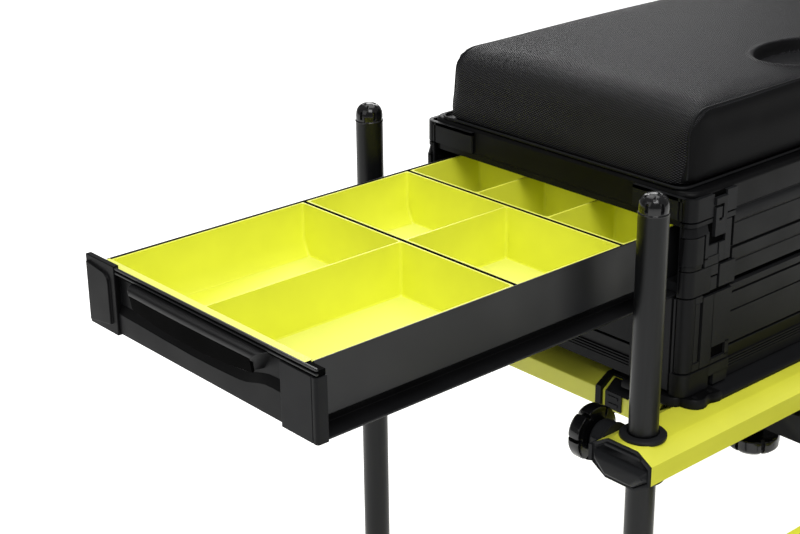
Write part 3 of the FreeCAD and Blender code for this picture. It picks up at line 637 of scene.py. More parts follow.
class SEATBOX_OT_drawer_front(bpy.types.Operator):
    """Drawer front: scooped panel, ribbed top edge, end caps and the bowed pull"""

    bl_idname = "seatbox.drawer_front"
    bl_label = "Drawer front"
    # (across, height) along the edge of the scoop, from the front end of the panel
    SCOOP = [(28, 606), (46, 606.5), (58, 606), (70, 603.6), (82, 600), (92, 597.4), (104, 595.8),
             (120, 595), (150, 594), (190, 593.5), (240, 594.6), (286, 596), (334, 597)]
    LEDGE = (9.0, 5.5)        # rise and depth of the ledge over the scoop
    RIBS = ((645.6, 648.0), (650.6, 653.4))       # heights of the ribs along the top edge
    RIB_OUT = 1.8
    CORE = (642, 650.4)       # heights of the near-black strip behind the ribs, painted shade in the groove between them
    CAP_TOP = 643.5           # top of the front cap, under the ribs
    NICK = (8.0, 7.4, 6.8)    # upright groove in the front cap, from its front end
    RELIEF_TOP = 648          # of the rear cap's face, and its corner as (across, height, r)
    RELIEF_CORNER = (22, 632, 12)
    PULL_OUT = 15.0           # how far the pull stands out from the panel
    PULL_Z = (611.0, 643.0)
    PULL_SHIFT = 6            # how far its middle lies toward the front of the panel's
    PAINTED_SHADE_HALF = 112                # half length of the near-black band of painted shade over the pull's face
    CUT = (116, (0.37, 0.74, 0.56))     # half length of the pull, and the slant of its ends

    def execute(self, context):
        lo, hi, mid = span("drawer_panel")
        cap_lo, cap_hi, _ = span("drawer_cap_front")
        self.panel(lo, hi)
        self.ribs(lo, hi, cap_lo)
        self.front_cap(cap_lo, cap_hi)
        self.rear_cap()
        self.pull(lo, mid)
        return {"FINISHED"}

    def panel(self, lo, hi):
        """Lower slab up to the scoop, the ledge above it, and the recess behind the pull."""
        bm = bmesh.new()
        foot = [(self.SCOOP[-1][0], lo.z), (self.SCOOP[0][0], lo.z)]
        for rise, out in ((0.0, 0.0), self.LEDGE):
            edge = [(y, z + rise) for y, z in self.SCOOP]
            prism(bm, "X", foot + edge, lo.x + out, hi.x - 1 - out * 0.05)
        rise, out = self.LEDGE
        low, high = [[bm.verts.new((lo.x + a, y, z + b)) for y, z in self.SCOOP]
                     for a, b in ((0.4, -0.4), (out + 0.1, rise))]
        for i in range(len(self.SCOOP) - 1):
            bm.faces.new((low[i], low[i + 1], high[i + 1], high[i]))
        block(bm, (lo.x + 6, hi.x), (lo.y, hi.y), (lo.z + 1, hi.z - 5))
        piece("drawer_panel_face", bm, "drawer", "shell", ["drawer_panel"], 0.9, 3)

    def ribs(self, lo, hi, cap_lo):
        """Two ribs along the top edge and a near-black strip behind them, painted shade in their
        groove.
        """
        bm = bmesh.new()
        for heights in self.RIBS:
            block(bm, (lo.x - self.RIB_OUT, lo.x + 1.2), (cap_lo.y + 0.4, hi.y + 1), heights)
        piece("drawer_top_ribs", bm, "drawer", "satin", (), 0.6)
        # near-black strip behind the ribs: painted shade in the groove between them
        slab("drawer_top_core", (lo.x + 0.6, hi.x - 1), (cap_lo.y + 1.5, hi.y + 1), self.CORE,
             "drawer", "matt", (), 0.3)

    def front_cap(self, lo, hi):
        bm = bmesh.new()
        far, middle, near = self.NICK
        outline = arc((lo.x + 3.5, lo.y + 3.5), 3.5, 180, 270, 6) + [
            (hi.x - 0.2, lo.y), (hi.x - 0.2, hi.y), (lo.x, hi.y), (lo.x, lo.y + far),
            (lo.x + 1.4, lo.y + middle), (lo.x, lo.y + near)]
        prism(bm, "Z", outline, lo.z, self.CAP_TOP)
        piece("drawer_cap_front_face", bm, "drawer", "shell", ["drawer_cap_front"], 0.7)

    def rear_cap(self):
        """Proud cap with a shallow rounded panel let into its face."""
        lo, hi, _ = span("drawer_cap_rear")
        bm = bmesh.new()
        block(bm, (lo.x, lo.x + 7.5), (lo.y, hi.y), (lo.z, hi.z - 2))
        block(bm, (lo.x + 6, hi.x - 0.2), (lo.y + 1, hi.y - 1), (lo.z + 1, hi.z - 8))
        obj = piece("drawer_cap_rear_face", bm, "drawer", "shell", ["drawer_cap_rear"], 0.9)
        cuts = bmesh.new()
        y, z, r = self.RELIEF_CORNER
        relief = [(lo.y + 10, lo.z + 12), *arc((lo.y + y, z), r, 180, 90, 6),
                  (hi.y - 4, self.RELIEF_TOP), (hi.y - 4, lo.z + 5)]
        prism(cuts, "X", relief, lo.x - 3, lo.x + 2.6)
        carve(obj, cuts)

    def pull(self, panel, mid):
        """Bowed pull, cut off at a slant at both ends, with a near-black band of painted shade
        over its face.
        """
        low, high = self.PULL_Z
        middle = mid.y - self.PULL_SHIFT
        reach = mid.y - 30        # half its length before the ends are cut off
        bm, painted_shade_mesh = bmesh.new(), bmesh.new()
        rings, grip = [], []
        for k in range(31):
            t = -1 + k / 15
            y = middle + t * reach
            front = panel.x - self.PULL_OUT + 2.2 * t * t
            foot = low + 14.0 * t * t
            rings.append([(panel.x + 8, y, high + 2.0), (front + 5.0, y, high + 1.0),
                          (front + 1.6, y, high - 0.6), (front, y, high - 5.0),
                          (front + 3.2, y, foot + 1.6), (front + 5.4, y, foot),
                          (panel.x + 8, y, foot + 1.0)])
            # painted shade over the pull's face, in a near-black band without sheen
            if abs(y - middle) < self.PAINTED_SHADE_HALF:
                grip.append([(front + 0.3, y, high - 5.6), (front - 0.3, y, high - 6.4),
                             (front + 2.6, y, foot + 1.8), (front + 4.2, y, foot + 1.4),
                             (front + 6, y, foot + 3), (front + 4, y, high - 7)])
        loft(bm, rings)
        loft(painted_shade_mesh, grip)
        piece("drawer_pull_grip", painted_shade_mesh, "drawer", "matt", (), 0.4)
        half, slant = self.CUT
        for side in (-1, 1):
            everything = bm.verts[:] + bm.edges[:] + bm.faces[:]
            cut = bmesh.ops.bisect_plane(
                bm, geom=everything, clear_outer=True,
                plane_co=(panel.x - 14, middle + side * half, high - 1),
                plane_no=(-slant[0], side * slant[1], -slant[2]))
            rim = [e for e in cut["geom_cut"] if isinstance(e, bmesh.types.BMEdge)]
            bmesh.ops.edgeloop_fill(bm, edges=rim)
        piece("drawer_pull", bm, "drawer", "satin", ["drawer_handle"], 0.8, 3)


CAST_R = 9.0                  # plan radius of the corner castings


def wrap(bm, x_end, y_end, low, high):
    """Wall round the front left corner; low and high are (height, proud) of its two rims."""
    centre = BOX_LO.x + CAST_R, BOX_LO.y + CAST_R
    rings = []
    for height, proud in (low, high):
        outer = [(x_end, BOX_LO.y - proud)] + arc(centre, CAST_R + proud, 270, 180, 8)
        inner = [(BOX_LO.x + 1, y_end)] + arc(centre, CAST_R - 1, 180, 270, 8)
        outline = outer + [(BOX_LO.x - proud, y_end)] + inner + [(x_end, BOX_LO.y + 1)]
        rings.append([(*p, BASE + height) for p in outline])
    loft(bm, rings)


class SEATBOX_OT_castings(bpy.types.Operator):
    """Corner castings of the box and lid, as stacked plates with slots and notches"""

    bl_idname = "seatbox.castings"
    bl_label = "Corner castings"
    # Heights are over the beams. Walls round the corner are (x end, y end, height, proud,
    # height, proud); flat plates are (from, to, height, height, proud), along x on the front
    # face and along y on the end face.
    POST = (
        # top, with the slope under it
        (-62.5, -38, 231.5, 4.6, 236.4, 4.6), (-38, -20, 230, 236.4, 4.6),
        (-71, -38, 219.5, 6.0, 230.5, 3.2), (-69.5, -50, 184, 202.5, 4.2),
        (-49, -37.5, 178, 202.5, 5.2), (-38, -27, 178, 229, 5.2),
        # bulging block with a tall slot beside it
        (-79.5, -41, 183.5, 6.6, 218.5, 6.6), (-79.5, -38, 176.6, 4.4, 182.6, 5.0),
        (-74.5, -48, 176.6, 188, 5.2), (-74.5, -69, 186, 221, 5.2),
        # block with the hooked slot
        (-61, -37, 142.5, 5.0, 175.4, 5.0), (-61.5, -48, 162.5, 175.4, 5.0),
        (-60, -48.4, 143, 159.8, 4.4), (-45, -15, 144, 173, 5.4),
        # tall block with its rib and two long slots
        (-87, -36, 43.5, 5.0, 140.5, 5.0), (-84.8, -76.5, 54, 131, 4.0),
        (-88, -74, 43.5, 53, 5.0), (-88, -74, 132, 140.5, 5.0), (-72.6, -52, 43.5, 137, 5.4),
        (-53, -18, 65.5, 137, 5.4), (-53, -18, 43.5, 49.5, 5.4), (-25, -18, 48, 67, 5.4),
        # foot block with a notch
        (-56, -30, 12.6, 6.4, 41.5, 6.4), (-57, -17, 28, 41.5, 6.4), (-46, -19, 14, 29, 6.4))
    POST_END = ((-32.5, -29.5, 16, 139, 4.8), (-26, 36, 16, 139, 4.8),
                (-34.4, -32, 142, 236, 4.2))
    LID = ((-62.5, -37, 238.5, 4.8, LID_TOP - 0.5, 4.6),
           (-38, -19.5, 238.5, LID_TOP - 0.5, 4.8))
    LID_END = ((-33.5, -30.5, 238.5, LID_TOP - 0.5, 4.8), (-27.5, 42, 238.5, LID_TOP - 0.5, 4.8),
               (-36, 42, LID_TOP - 5, LID_TOP - 0.4, 4.8))
    # Near-black backing, painted shade seen only in the slots
    POST_PAINTED_SHADE = ((-21, 36, 13, 1.6, 137, 1.6), (-24, BOX_LO.y + 14.5, 137, 1.6, 236.4, 1.6))
    LID_PAINTED_SHADE = ((-21, 42, 237.5, 1.6, LID_TOP - 1, 1.6),)

    def execute(self, context):
        for quarter, turn in QUARTERS.items():
            for name, body, front, end, painted_shade_backing in (
                    ("corner_post_", "frame", self.POST, self.POST_END, self.POST_PAINTED_SHADE),
                    ("lid_corner_", "lid", self.LID, self.LID_END, self.LID_PAINTED_SHADE)):
                node = name + quarter
                piece(node + "_casting", self.plates(front, end), body, replaces=[node],
                      turn=turn)
                # near-black backing behind the slots: painted shade
                piece(node + "_core", self.plates(painted_shade_backing), body, "matt", bevel=0.4, turn=turn)
        return {"FINISHED"}

    def plates(self, front, end=()):
        bm = bmesh.new()
        for a, b, *rest in front:
            if len(rest) == 4:
                wrap(bm, a, b, rest[:2], rest[2:])
            else:
                low, high, proud = rest
                block(bm, (a, b), (BOX_LO.y - proud, BOX_LO.y + 1), (BASE + low, BASE + high))
        for a, b, low, high, proud in end:
            block(bm, (BOX_LO.x - proud, BOX_LO.x + 1), (a, b), (BASE + low, BASE + high))
        return bm


class SEATBOX_OT_planks(bpy.types.Operator):
    """Ribbed faces of the two box tiers, between the corner castings, and the foot rails"""

    bl_idname = "seatbox.planks"
    bl_label = "Ribbed faces"
    # (proud of the shell, height above the beams) up the face
    FINE = [(p + step * 0.3, 23.4 + 4.0 * step + h) for step in range(4)
            for p, h in ((-0.8, 0), (1.2, 0.7), (1.2, 2.4), (-0.8, 3.2))]
    LOWER = [(-0.8, 13.5)] + FINE + [
        (0.2, 40.0), (3.0, 54.6), (3.0, 55.8), (-0.9, 56.4), (-0.9, 58.4), (3.2, 59.2),
        (3.2, 101.6), (1.6, 102.2), (1.6, 103.4), (3.2, 104.0), (3.2, 126.6), (0.6, 127.3),
        (0.6, 129.0), (3.2, 129.8), (3.2, 138.6), (-0.8, 140.4)]
    UPPER = [(-0.8, 146.8), (3.4, 148.2), (3.4, 168.2), (2.7, 168.9), (2.7, 170.0),
             (3.4, 170.7), (3.4, 186.4), (-0.8, 187.2), (-0.8, 189.6), (3.4, 190.5),
             (3.4, 218.6), (2.7, 219.3), (2.7, 220.4), (3.4, 221.1), (3.4, 231.0),
             (0.8, 235.6)]
    BACK = 1.4                # how far the faces reach into the shell
    INSET = (79.0, 80.0)      # where the castings end, from a corner along x and y
    # (across, height above the beams) of the front foot rail, and its ends from the corners
    RAIL = ((-68, 0.3), (-68, 5), (-64, 7.5), (-34, 11.6), (-34, 0.3))
    RAIL_INSET = 52

    def execute(self, context):
        x, y = self.INSET
        long_way = BOX_LO.x + x, BOX_HI.x - x
        short_way = BOX_LO.y + y, BOX_HI.y - y
        # the left side has no upper face: the drawer is there
        sides = (("front", "X", BOX_LO.y, -1, long_way, 2),
                 ("rear", "X", BOX_HI.y, 1, long_way, 2),
                 ("left", "Y", BOX_LO.x, -1, short_way, 1),
                 ("right", "Y", BOX_HI.x, 1, short_way, 2))
        for name, axis, face, out, reach, tiers in sides:
            bm = bmesh.new()
            for profile in (self.LOWER, self.UPPER)[:tiers]:
                outline = [(face + out * p, BASE + h) for p, h in profile]
                back = face - out * self.BACK
                outline += [(back, outline[-1][1]), (back, outline[0][1])]
                prism(bm, axis, outline, *reach)
            piece("ribbed_face_" + name, bm, "frame", "shell", bevel=0.5)
        for name, out in (("front", 1), ("rear", -1)):
            bm = bmesh.new()
            outline = [(BOX_MID.y + (y - BOX_MID.y) * out, BASE + h) for y, h in self.RAIL]
            prism(bm, "X", outline, BOX_LO.x + self.RAIL_INSET, BOX_HI.x - self.RAIL_INSET)
            piece("foot_rail_" + name, bm, "frame", "shell")
        return {"FINISHED"}


def octagon(centre, grow=0.0):
    """Outline of the beams' profile across their length, as (across, height) points."""
    width, height = BEAM_HI.y - BEAM_LO.y, BEAM_HI.z - BEAM_LO.z
    a, b = width / 2 + grow, height / 2 + grow
    flat, drop = 22.8 + grow * 0.4, 12.9 - grow * 0.2
    y, z = centre
    return [(y + u, z + v) for u, v in (
        (-flat, -b), (flat, -b), (a, -b + drop), (a, b - drop), (flat, b), (-flat, b),
        (-a, b - drop), (-a, -b + drop))]


class SEATBOX_OT_beam_ends(bpy.types.Operator):
    """Moulded ends of the long beams, with the collar of the leg and the clamp boss"""

    bl_idname = "seatbox.beam_ends"
    bl_label = "Beam ends"
    # (out from the end of the beam, growth of the profile) from the sleeve to the face
    FACE = ((-14, -3.4), (0.3, -3.4), (0.3, 0.3), (3.5, 0.3), (3.5, -2.6), (0.8, -4.4))
    PAD = ((0.5, 4.0), (4.0, 4.2), (8.0, 6.4), (10.5, 10.5))     # (out, inset) of the pad
    SHELF = ((-30, 24), (17.5, 20.5))     # across and height from the middle of the beam
    # (radius, out from the beam) of the leg's collar; the last ones line its bore
    COLLAR = ((18.3, -1), (28.0, -1), (28.4, 0.5), (28.4, 3.0), (27.2, 4.3), (25.4, 5.0),
              (19.6, 5.3), (19.6, 1.5), (18.3, 1.2))
    BOSS = ((5.3, -1), (24.4, -1), (24.4, 2), (22.6, 3.6), (22.6, 19.0), (20.6, 22.0),
            (17.6, 24.0), (5.3, 24.0))

    def execute(self, context):
        x, beam = BEAM_LO.x, BEAM_MID
        middle = beam.y, beam.z
        for quarter, turn in QUARTERS.items():
            bm = bmesh.new()
            loft(bm, [[(x - out, *p) for p in octagon(middle, grow)] for out, grow in self.FACE])
            self.lip(bm, x, beam)
            for base, up in ((BEAM_HI.z, 1), (BEAM_LO.z, -1)):
                turned(bm, [(r, base + up * h) for r, h in self.COLLAR],
                       (LEG_MID.x, LEG_MID.y, 0), count=64)
            self.boss(bm, LEG_MID, beam)
            node = "beam_end_" + quarter
            piece(node + "_moulding", bm, "frame", replaces=[node], bevel=0.9, segments=3,
                  turn=turn)
        return {"FINISHED"}

    def lip(self, bm, x, beam):
        """Convex pad that fills the lower part of the end, with a short shelf above it."""
        rings = []
        for out, inset in self.PAD:
            top = beam.z + 6.0 - (inset - self.PAD[0][1]) * 1.1
            rings.append([(x - out, y, min(z, top))
                          for y, z in octagon((beam.y, beam.z), -inset)])
        loft(bm, rings)
        (y0, y1), (z0, z1) = self.SHELF
        prism(bm, "X", [(beam.y + y, beam.z + z) for y, z in (
            (y0, z0), (y1, z0), (y1, z1), (y0, z1))], x - 5.5, x)

    def boss(self, bm, leg, beam):
        """Round boss of the clamp knob, with a wing on each side and a plate behind it."""
        face = BEAM_HI.y
        block(bm, (BEAM_LO.x - 6, leg.x + 31), (face - 1, face + 4.4),
              (beam.z - 10.5, beam.z + 10.5))
        turned(bm, self.BOSS, (leg.x, face, beam.z), axis="Y", count=56)
        for side in (-1, 1):
            wing = leg.x + side * 22
            block(bm, (wing - 3, wing + 3), (face, face + 16), (beam.z - 9, beam.z + 9))


class SEATBOX_OT_brackets(bpy.types.Operator):
    """Brackets between the box corners and the beams, with the band on the cross beam"""

    bl_idname = "seatbox.brackets"
    bl_label = "Corner brackets"
    # Plan of the foot under the front left corner of the box
    FOOT = [(-112, 40), (-112, -28), (-110.5, -38), (-106, -43.5), (-101.5, -45.5), (-101, -52),
            (-98, -60), (-93, -66), (-85, -69), (-78, -68), (-72, -65.5), (-66, -65.5),
            (-60, -68), (-53, -69), (-47.5, -68), (-47, -40), (-10, -36), (-10, 40)]
    MIDDLE = (-60, -10)       # point toward which the foot narrows
    RISE = ((0.2, 0.6), (2.0, 0), (7.5, 0.4), (11.6, 3.2))       # (height, inset) of the foot
    SCREWS = ((-88, -57), (-60, -57))
    # Growth of the beam's profile, and the places across the box, of the two bands
    BANDS = ((4.6, 68.5, 76), (2.2, 76, 79.5))
    # (out from the beam, height) of the plate let into the band, and its places across the box
    PLATES = (((25, 63), ((1, 420), (-2.2, 418), (15.5, 430.5), (19, 429))),
              ((36.5, 63), ((-2.2, 395.5), (-2.2, 419), (1, 419), (1, 395.5))))
    TOP = ((23, 78), (428, 432.5))
    BARS = ((400, 404), (410, 414))       # heights of the two bars on the plate

    def execute(self, context):
        for quarter, turn in QUARTERS.items():
            bm = bmesh.new()
            self.foot(bm)
            self.sleeve(bm)
            node = "corner_bracket_" + quarter
            piece(node + "_foot", bm, "frame", replaces=[node], bevel=1.1, segments=3, turn=turn)
        return {"FINISHED"}

    def foot(self, bm):
        """Foot under the corner, with the heads of its two screws."""
        rings = []
        for h, inset in self.RISE:
            ring = []
            for p in self.FOOT:
                away = Vector(p) - Vector(self.MIDDLE)
                q = Vector(p) - away.normalized() * inset
                ring.append((q.x, q.y, BASE + h))
            rings.append(ring)
        loft(bm, rings)
        for place in self.SCREWS:
            turned(bm, [(3.4, BASE + 11), (3.4, BASE + 12.4), (2.6, BASE + 12.8)],
                   (*place, 0), count=18)

    def sleeve(self, bm):
        """Band round the cross beam, and the plate let into its outer face."""
        lo, _, mid = span("cross_beam_left")
        for grow, *y in self.BANDS:
            prism(bm, "Y", octagon((mid.x, mid.z), grow), *y)
        for y, outline in self.PLATES:
            prism(bm, "Y", [(lo.x + x, z) for x, z in outline], *y)
        block(bm, (mid.x - 24, mid.x), *self.TOP)
        for heights in self.BARS:
            block(bm, (lo.x - 3.4, lo.x - 1), (42, 58), heights)


def spoked(count, gap, depth, r):
    """Outline of a wheel of a radius, with straight notches of a width and depth in its rim."""
    points = []
    for i in range(count):
        middle = 2 * math.pi * i / count
        half = math.asin(gap / 2 / r)
        inner = math.asin(gap / 2 / (r - depth))
        points += [(r - depth, middle - inner), (r - depth, middle + inner)]
        start, end = middle + half, middle + 2 * math.pi / count - half
        for k in range(9):
            t = k / 8
            points.append((r * (1 - 0.035 * (2 * t - 1) ** 4), start + (end - start) * t))
    return [(q * math.cos(a), q * math.sin(a)) for q, a in points]


class SEATBOX_OT_hardware(bpy.types.Operator):
    """Clamp knobs, leg caps, rubber feet and lid latches"""

    bl_idname = "seatbox.hardware"
    bl_label = "Knobs, caps, feet and latches"
    THICK = 25.0              # thickness of a knob's grip
    # (share of the radius, share of the thickness) from the beam outward, then of the hub
    GRIP = ((0.80, 0.0), (0.97, 0.07), (1.0, 0.16), (1.0, 0.60), (0.95, 0.74), (0.84, 0.88),
            (0.66, 0.96), (0.44, 1.0))
    HUB = ((0.36, 0.9), (0.36, 1.03), (0.30, 1.07))
    NOTCHES = (6, 5.2, 8.5)   # count, width and depth of the notches in a grip
    STUD_R = 5.0
    CAP_TALL = 24.0
    # (radius, height) from the plug in the tube to the top of the dome
    CAP = ((15.8, -16), (15.8, 0), (18.6, 0), (18.8, 0.9), (18.3, 2.0), (17.6, 2.6), (17.8, 8),
           (17.2, 13), (15.6, 17.4), (12.8, 20.8), (9.0, 23.0), (8.2, 22.2), (6.6, 22.4),
           (5.4, 23.6), (2.4, 24.0))
    # radius, half width and half depth, heights, turn of the slots and notches in a cap
    CAP_CUTS = ((17.6, 1.9, 3.2, 5.0, 15.5, 0.0), (11.6, 1.2, 2.6, 20.2, 26, 0.5))
    FOOT_SHAPE = 34.0 / 23.0  # height of a foot by its radius
    # (out from the tube, share of the height) up the foot, then (share of the radius, same)
    FOOT = ((0.6, 0.18), (-0.7, 0.23), (0.6, 0.28), (0.6, 0.50), (-0.4, 0.58))
    FOOT_TOP = ((0.86, 0.96), (0.83, 1.02), (0.76, 1.03))
    # (places along x from the latch's left end, heights) of the grooves of its hooked slot
    LATCH_CUTS = (((-2, 14.6), (679.2, 682.6)), ((11.6, 14.6), (664, 679.8)),
                  ((6.5, 12.2), (662, 665.4)))

    def execute(self, context):
        for node in frame["nodes"]:
            if "knob" in node:
                self.knob(node)
        for node in frame["nodes"]:
            if node.startswith(("leg_tube", "plate_leg_")):
                self.foot(node)
        for quarter in QUARTERS:
            self.cap("leg_cap_" + quarter, "leg_" + quarter)
        for side in ("left", "right"):
            self.latch("latch_" + side)
        return {"FINISHED"}

    def knob(self, node):
        """Lobed grip on its stud; the grip is the wide end of the CAD's box."""
        lo, hi, mid = span(node)
        axis = "Z" if node.startswith("rail") else "Y"
        i = "XYZ".index(axis)
        outward = 1 if node.startswith("leg_knob_front") else -1
        back, far = ((hi[i] - self.THICK, lo[i]) if outward > 0 else
                     (lo[i] + self.THICK, hi[i]))
        centre = (mid.x, mid.y) if axis == "Z" else (mid.x, mid.z)
        place = ALONG[axis](centre, 0)
        r = (hi.x - lo.x) / 2
        plan = spoked(*self.NOTCHES, r)
        bm = bmesh.new()
        loft(bm, [[ALONG[axis]((centre[0] + u * share, centre[1] + v * share),
                               back + outward * depth * self.THICK) for u, v in plan]
                  for share, depth in self.GRIP])
        turned(bm, [(r * share, back + outward * self.THICK * depth) for share, depth in self.HUB],
               place, axis, 36)
        piece(node + "_grip", bm, node, "gloss_black", [node], 0.9, 3)
        bm = bmesh.new()
        turned(bm, [(self.STUD_R, far), (self.STUD_R, back)], place, axis, 20)
        piece(node + "_stud", bm, node, "steel", bevel=0.5)

    def cap(self, node, body):
        """Glossy dome in the top of a leg, with slots down its side and notches on top."""
        _, hi, mid = span(node)
        base = hi.z - self.CAP_TALL
        bm = bmesh.new()
        turned(bm, [(r, base + h) for r, h in self.CAP], (mid.x, mid.y, 0), count=56)
        obj = piece(node + "_dome", bm, body, "gloss_black", [node], 0.3)
        cuts = bmesh.new()
        for k in range(6):
            for r, wide, deep, low, high, turn in self.CAP_CUTS:
                self.spoke(cuts, mid.xy, math.radians(60 * k + 12) + turn, r, wide, deep,
                           (base + low, base + high))
        carve(obj, cuts)

    def spoke(self, bm, centre, angle, r, wide, deep, z):
        """Small block that points at an axis."""
        along = Vector((math.cos(angle), math.sin(angle)))
        across = Vector((-along.y, along.x))
        plan = [centre + along * (r + u) + across * v
                for u, v in ((-deep, -wide), (deep, -wide), (deep, wide), (-deep, wide))]
        prism(bm, "Z", plan, *z)

    def foot(self, node):
        """Ribbed rubber foot drawn over the end of a leg."""
        lo, hi, mid = span(node)
        r = (hi.x - lo.x) / 2
        tall = r * self.FOOT_SHAPE
        profile = [(r - 6, lo.z + 0.1), (r - 1.5, lo.z + 0.1), (r + 0.5, lo.z + 2.0)]
        profile += [(r + out, lo.z + tall * h) for out, h in self.FOOT]
        profile += [(r * share, lo.z + tall * h) for share, h in self.FOOT_TOP]
        bm = bmesh.new()
        turned(bm, profile, (mid.x, mid.y, 0))
        piece(node + "_foot", bm, frame["nodes"][node]["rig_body"], "rubber", bevel=0.6)

    def latch(self, node):
        """Slider in its slot; each groove is cut on its own, since the three overlap."""
        lo, hi, _ = span(node)
        obj = slab(node + "_slider", (lo.x + 0.3, hi.x - 0.3), (lo.y + 1.0, hi.y), (lo.z, hi.z),
                   node, "black_plastic", [node])
        for x, z in self.LATCH_CUTS:
            cuts = bmesh.new()
            block(cuts, [lo.x + v for v in x], (lo.y - 2, lo.y + 4.4), z)
            carve(obj, cuts)


def rounded_pair(a, b, ha, hb, r, only_up=False):
    """Pulls points that lie outside a round corner of a plane outline onto its arc."""
    ca, cb = ha - r, hb - r
    da, db = np.abs(a) - ca, (b if only_up else np.abs(b)) - cb
    out = (da > 0) & (db > 0)
    d = np.hypot(da, db)
    k = np.where(out & (d > r), r / np.maximum(d, 1e-9), 1.0)
    a = np.where(out, np.sign(a) * (ca + da * k), a)
    b = np.where(out, (1 if only_up else np.sign(b)) * (cb + db * k), b)
    return a, b


def remeshed(obj, voxel):
    mod = obj.modifiers.new("remesh", "REMESH")
    mod.mode, mod.voxel_size = "VOXEL", voxel
    apply_modifiers(obj)


def evened(obj, field, rounds):
    """A field on the points of a mesh, averaged with its neighbours several times."""
    pairs = np.zeros(len(obj.data.edges) * 2, dtype=np.int32)
    obj.data.edges.foreach_get("vertices", pairs)
    a, b = pairs.reshape(-1, 2).T
    count = np.bincount(pairs, minlength=len(field))[:, None]
    for _ in range(rounds):
        total = np.zeros_like(field)
        np.add.at(total, a, field[b])
        np.add.at(total, b, field[a])
        field = (field + total / np.maximum(count, 1)) / 2
    return field


class SEATBOX_OT_cushion(bpy.types.Operator):
    """Inflates the seat cushion in its space, with its panels, seams, piping and hand recess"""

    bl_idname = "seatbox.cushion"
    bl_label = "Seat cushion"
    RECESS = (-140.0, 76.0, 48.0)      # how far from the middle, and its half lengths
    RIM = 1.6                          # height of the swelling round the recess
    CROWN = (5.5, 4.5)                 # fall of the top toward its ends and its long sides
    TUCK = (3.5, 22.0)                 # how far the foot is drawn in, and up to what height
    FLARE = (9.0, 42.0)                # how far the foot spreads at the ends, and its height
    HELD = 7                           # height up to which the cloth is held
    FRAMES = 20                        # of the cloth simulation
    CLOTH = {"quality": 4, "use_pressure": True, "uniform_pressure_force": 4.0,
             "tension_stiffness": 30, "compression_stiffness": 30, "bending_stiffness": 4,
             "vertex_group_mass": "held"}
    SEAM_R = 1.3
    SEAM_STEPS = (5, 12, 40)           # points of a seam up an end, round it, over the top

    def execute(self, context):
        sizes = context.scene.seat_box_sizes
        lo, hi, mid = (p * MM for p in span("cushion"))
        half = (hi - lo) / 2
        swell = sizes.swell
        hx, hy, hz = half.x - swell, half.y - swell, half.z - swell / 2
        bm = bmesh.new()
        bmesh.ops.create_cube(bm, size=2.0)
        for v in bm.verts:
            v.co = Vector((v.co.x * hx, v.co.y * hy, v.co.z * hz))
        obj = linked("seat_cushion", new_mesh("seat_cushion", bm))
        remeshed(obj, sizes.voxel)
        for _ in range(2):
            x, y, z = coordinates(obj).T
            x, z = rounded_pair(x, z, hx, hz, sizes.shoulder, only_up=True)
            y, z = rounded_pair(y, z, hy, hz, sizes.side_edge, only_up=True)
            x, y = rounded_pair(x, y, hx, hy, sizes.plan_corner)
            put_coordinates(obj, np.stack((x, y, z), 1))
            remeshed(obj, sizes.voxel)
        put_coordinates(obj, coordinates(obj) + np.array((mid.x, mid.y, lo.z + hz)))
        self.inflate(context, obj, lo.z, swell)
        self.dress(obj, lo, hi, mid, half, sizes)
        return {"FINISHED"}

    def inflate(self, context, obj, floor, cap):
        """Runs the cloth under pressure, with the foot held, and caps how far a point moves."""
        before = coordinates(obj)
        group = obj.vertex_groups.new(name="held")
        held = np.nonzero(before[:, 2] < floor + self.HELD * MM)[0]
        group.add([int(i) for i in held], 1.0, "REPLACE")
        cloth = obj.modifiers.new("cloth", "CLOTH")
        for key, value in self.CLOTH.items():
            setattr(cloth.settings, key, value)
        cloth.settings.effector_weights.gravity = 0
        cloth.collision_settings.use_collision = False
        cloth.point_cache.frame_start, cloth.point_cache.frame_end = 1, self.FRAMES
        for f in range(1, self.FRAMES + 1):
            context.scene.frame_set(f)
        apply_modifiers(obj)
        context.scene.frame_set(1)
        moved = coordinates(obj) - before
        far = np.linalg.norm(moved, axis=1)
        moved *= np.minimum(1.0, cap / np.maximum(far, 1e-9))[:, None]
        put_coordinates(obj, before + evened(obj, moved, 10))
        obj.vertex_groups.clear()

    def dress(self, obj, lo, hi, mid, half, sizes):
        """Shapes the inflated cover, then adds its panels, piping and seams."""
        mod = obj.modifiers.new("smooth", "SUBSURF")
        mod.levels = mod.render_levels = 1
        apply_modifiers(obj)
        co = coordinates(obj)
        normals = point_normals(obj)
        rx, ry = (co[:, 0] - mid.x) / half.x, (co[:, 1] - mid.y) / half.y
        up = np.clip((co[:, 2] - lo.z) / (hi.z - lo.z), 0, 1)
        co[:, 2] -= MM * (self.CROWN[0] * rx ** 2 + self.CROWN[1] * ry ** 2) * up
        inset, height = (v * MM for v in self.TUCK)
        low = np.clip(1 - (co[:, 2] - lo.z) / height, 0, 1) ** 2
        co[:, :2] -= normals[:, :2] * (inset * low)[:, None]
        flare, height = (v * MM for v in self.FLARE)
        low = np.clip(1 - (co[:, 2] - lo.z) / height, 0, 1) ** 1.6
        co[:, 0] += np.sign(rx) * np.clip((np.abs(rx) - 0.9) / 0.08, 0, 1) * flare * low
        away, long, wide = (v * MM for v in self.RECESS)
        d = np.hypot((co[:, 0] - mid.x) / long, (co[:, 1] - mid.y - away) / wide)
        dip = np.clip((1.02 - d) / 0.15, 0, 1)
        dip = dip * dip * (3 - 2 * dip)
        rim = self.RIM * MM * np.exp(-((d - 1.07) / 0.05) ** 2)
        co[:, 2] += (rim - sizes.recess * dip) * (up > 0.5)
        beyond = Vector((flare, 0, 0))
        put_coordinates(obj, np.clip(co, np.array(lo - beyond), np.array(hi + beyond)))
        self.panels(obj, mid, half, sizes)
        settle(obj, "lid", "seat_vinyl", ["cushion"])
        smooth(obj.data)
        self.piping(lo, mid, half + beyond, sizes)
        self.seams(obj, lo, hi, mid, half, sizes)

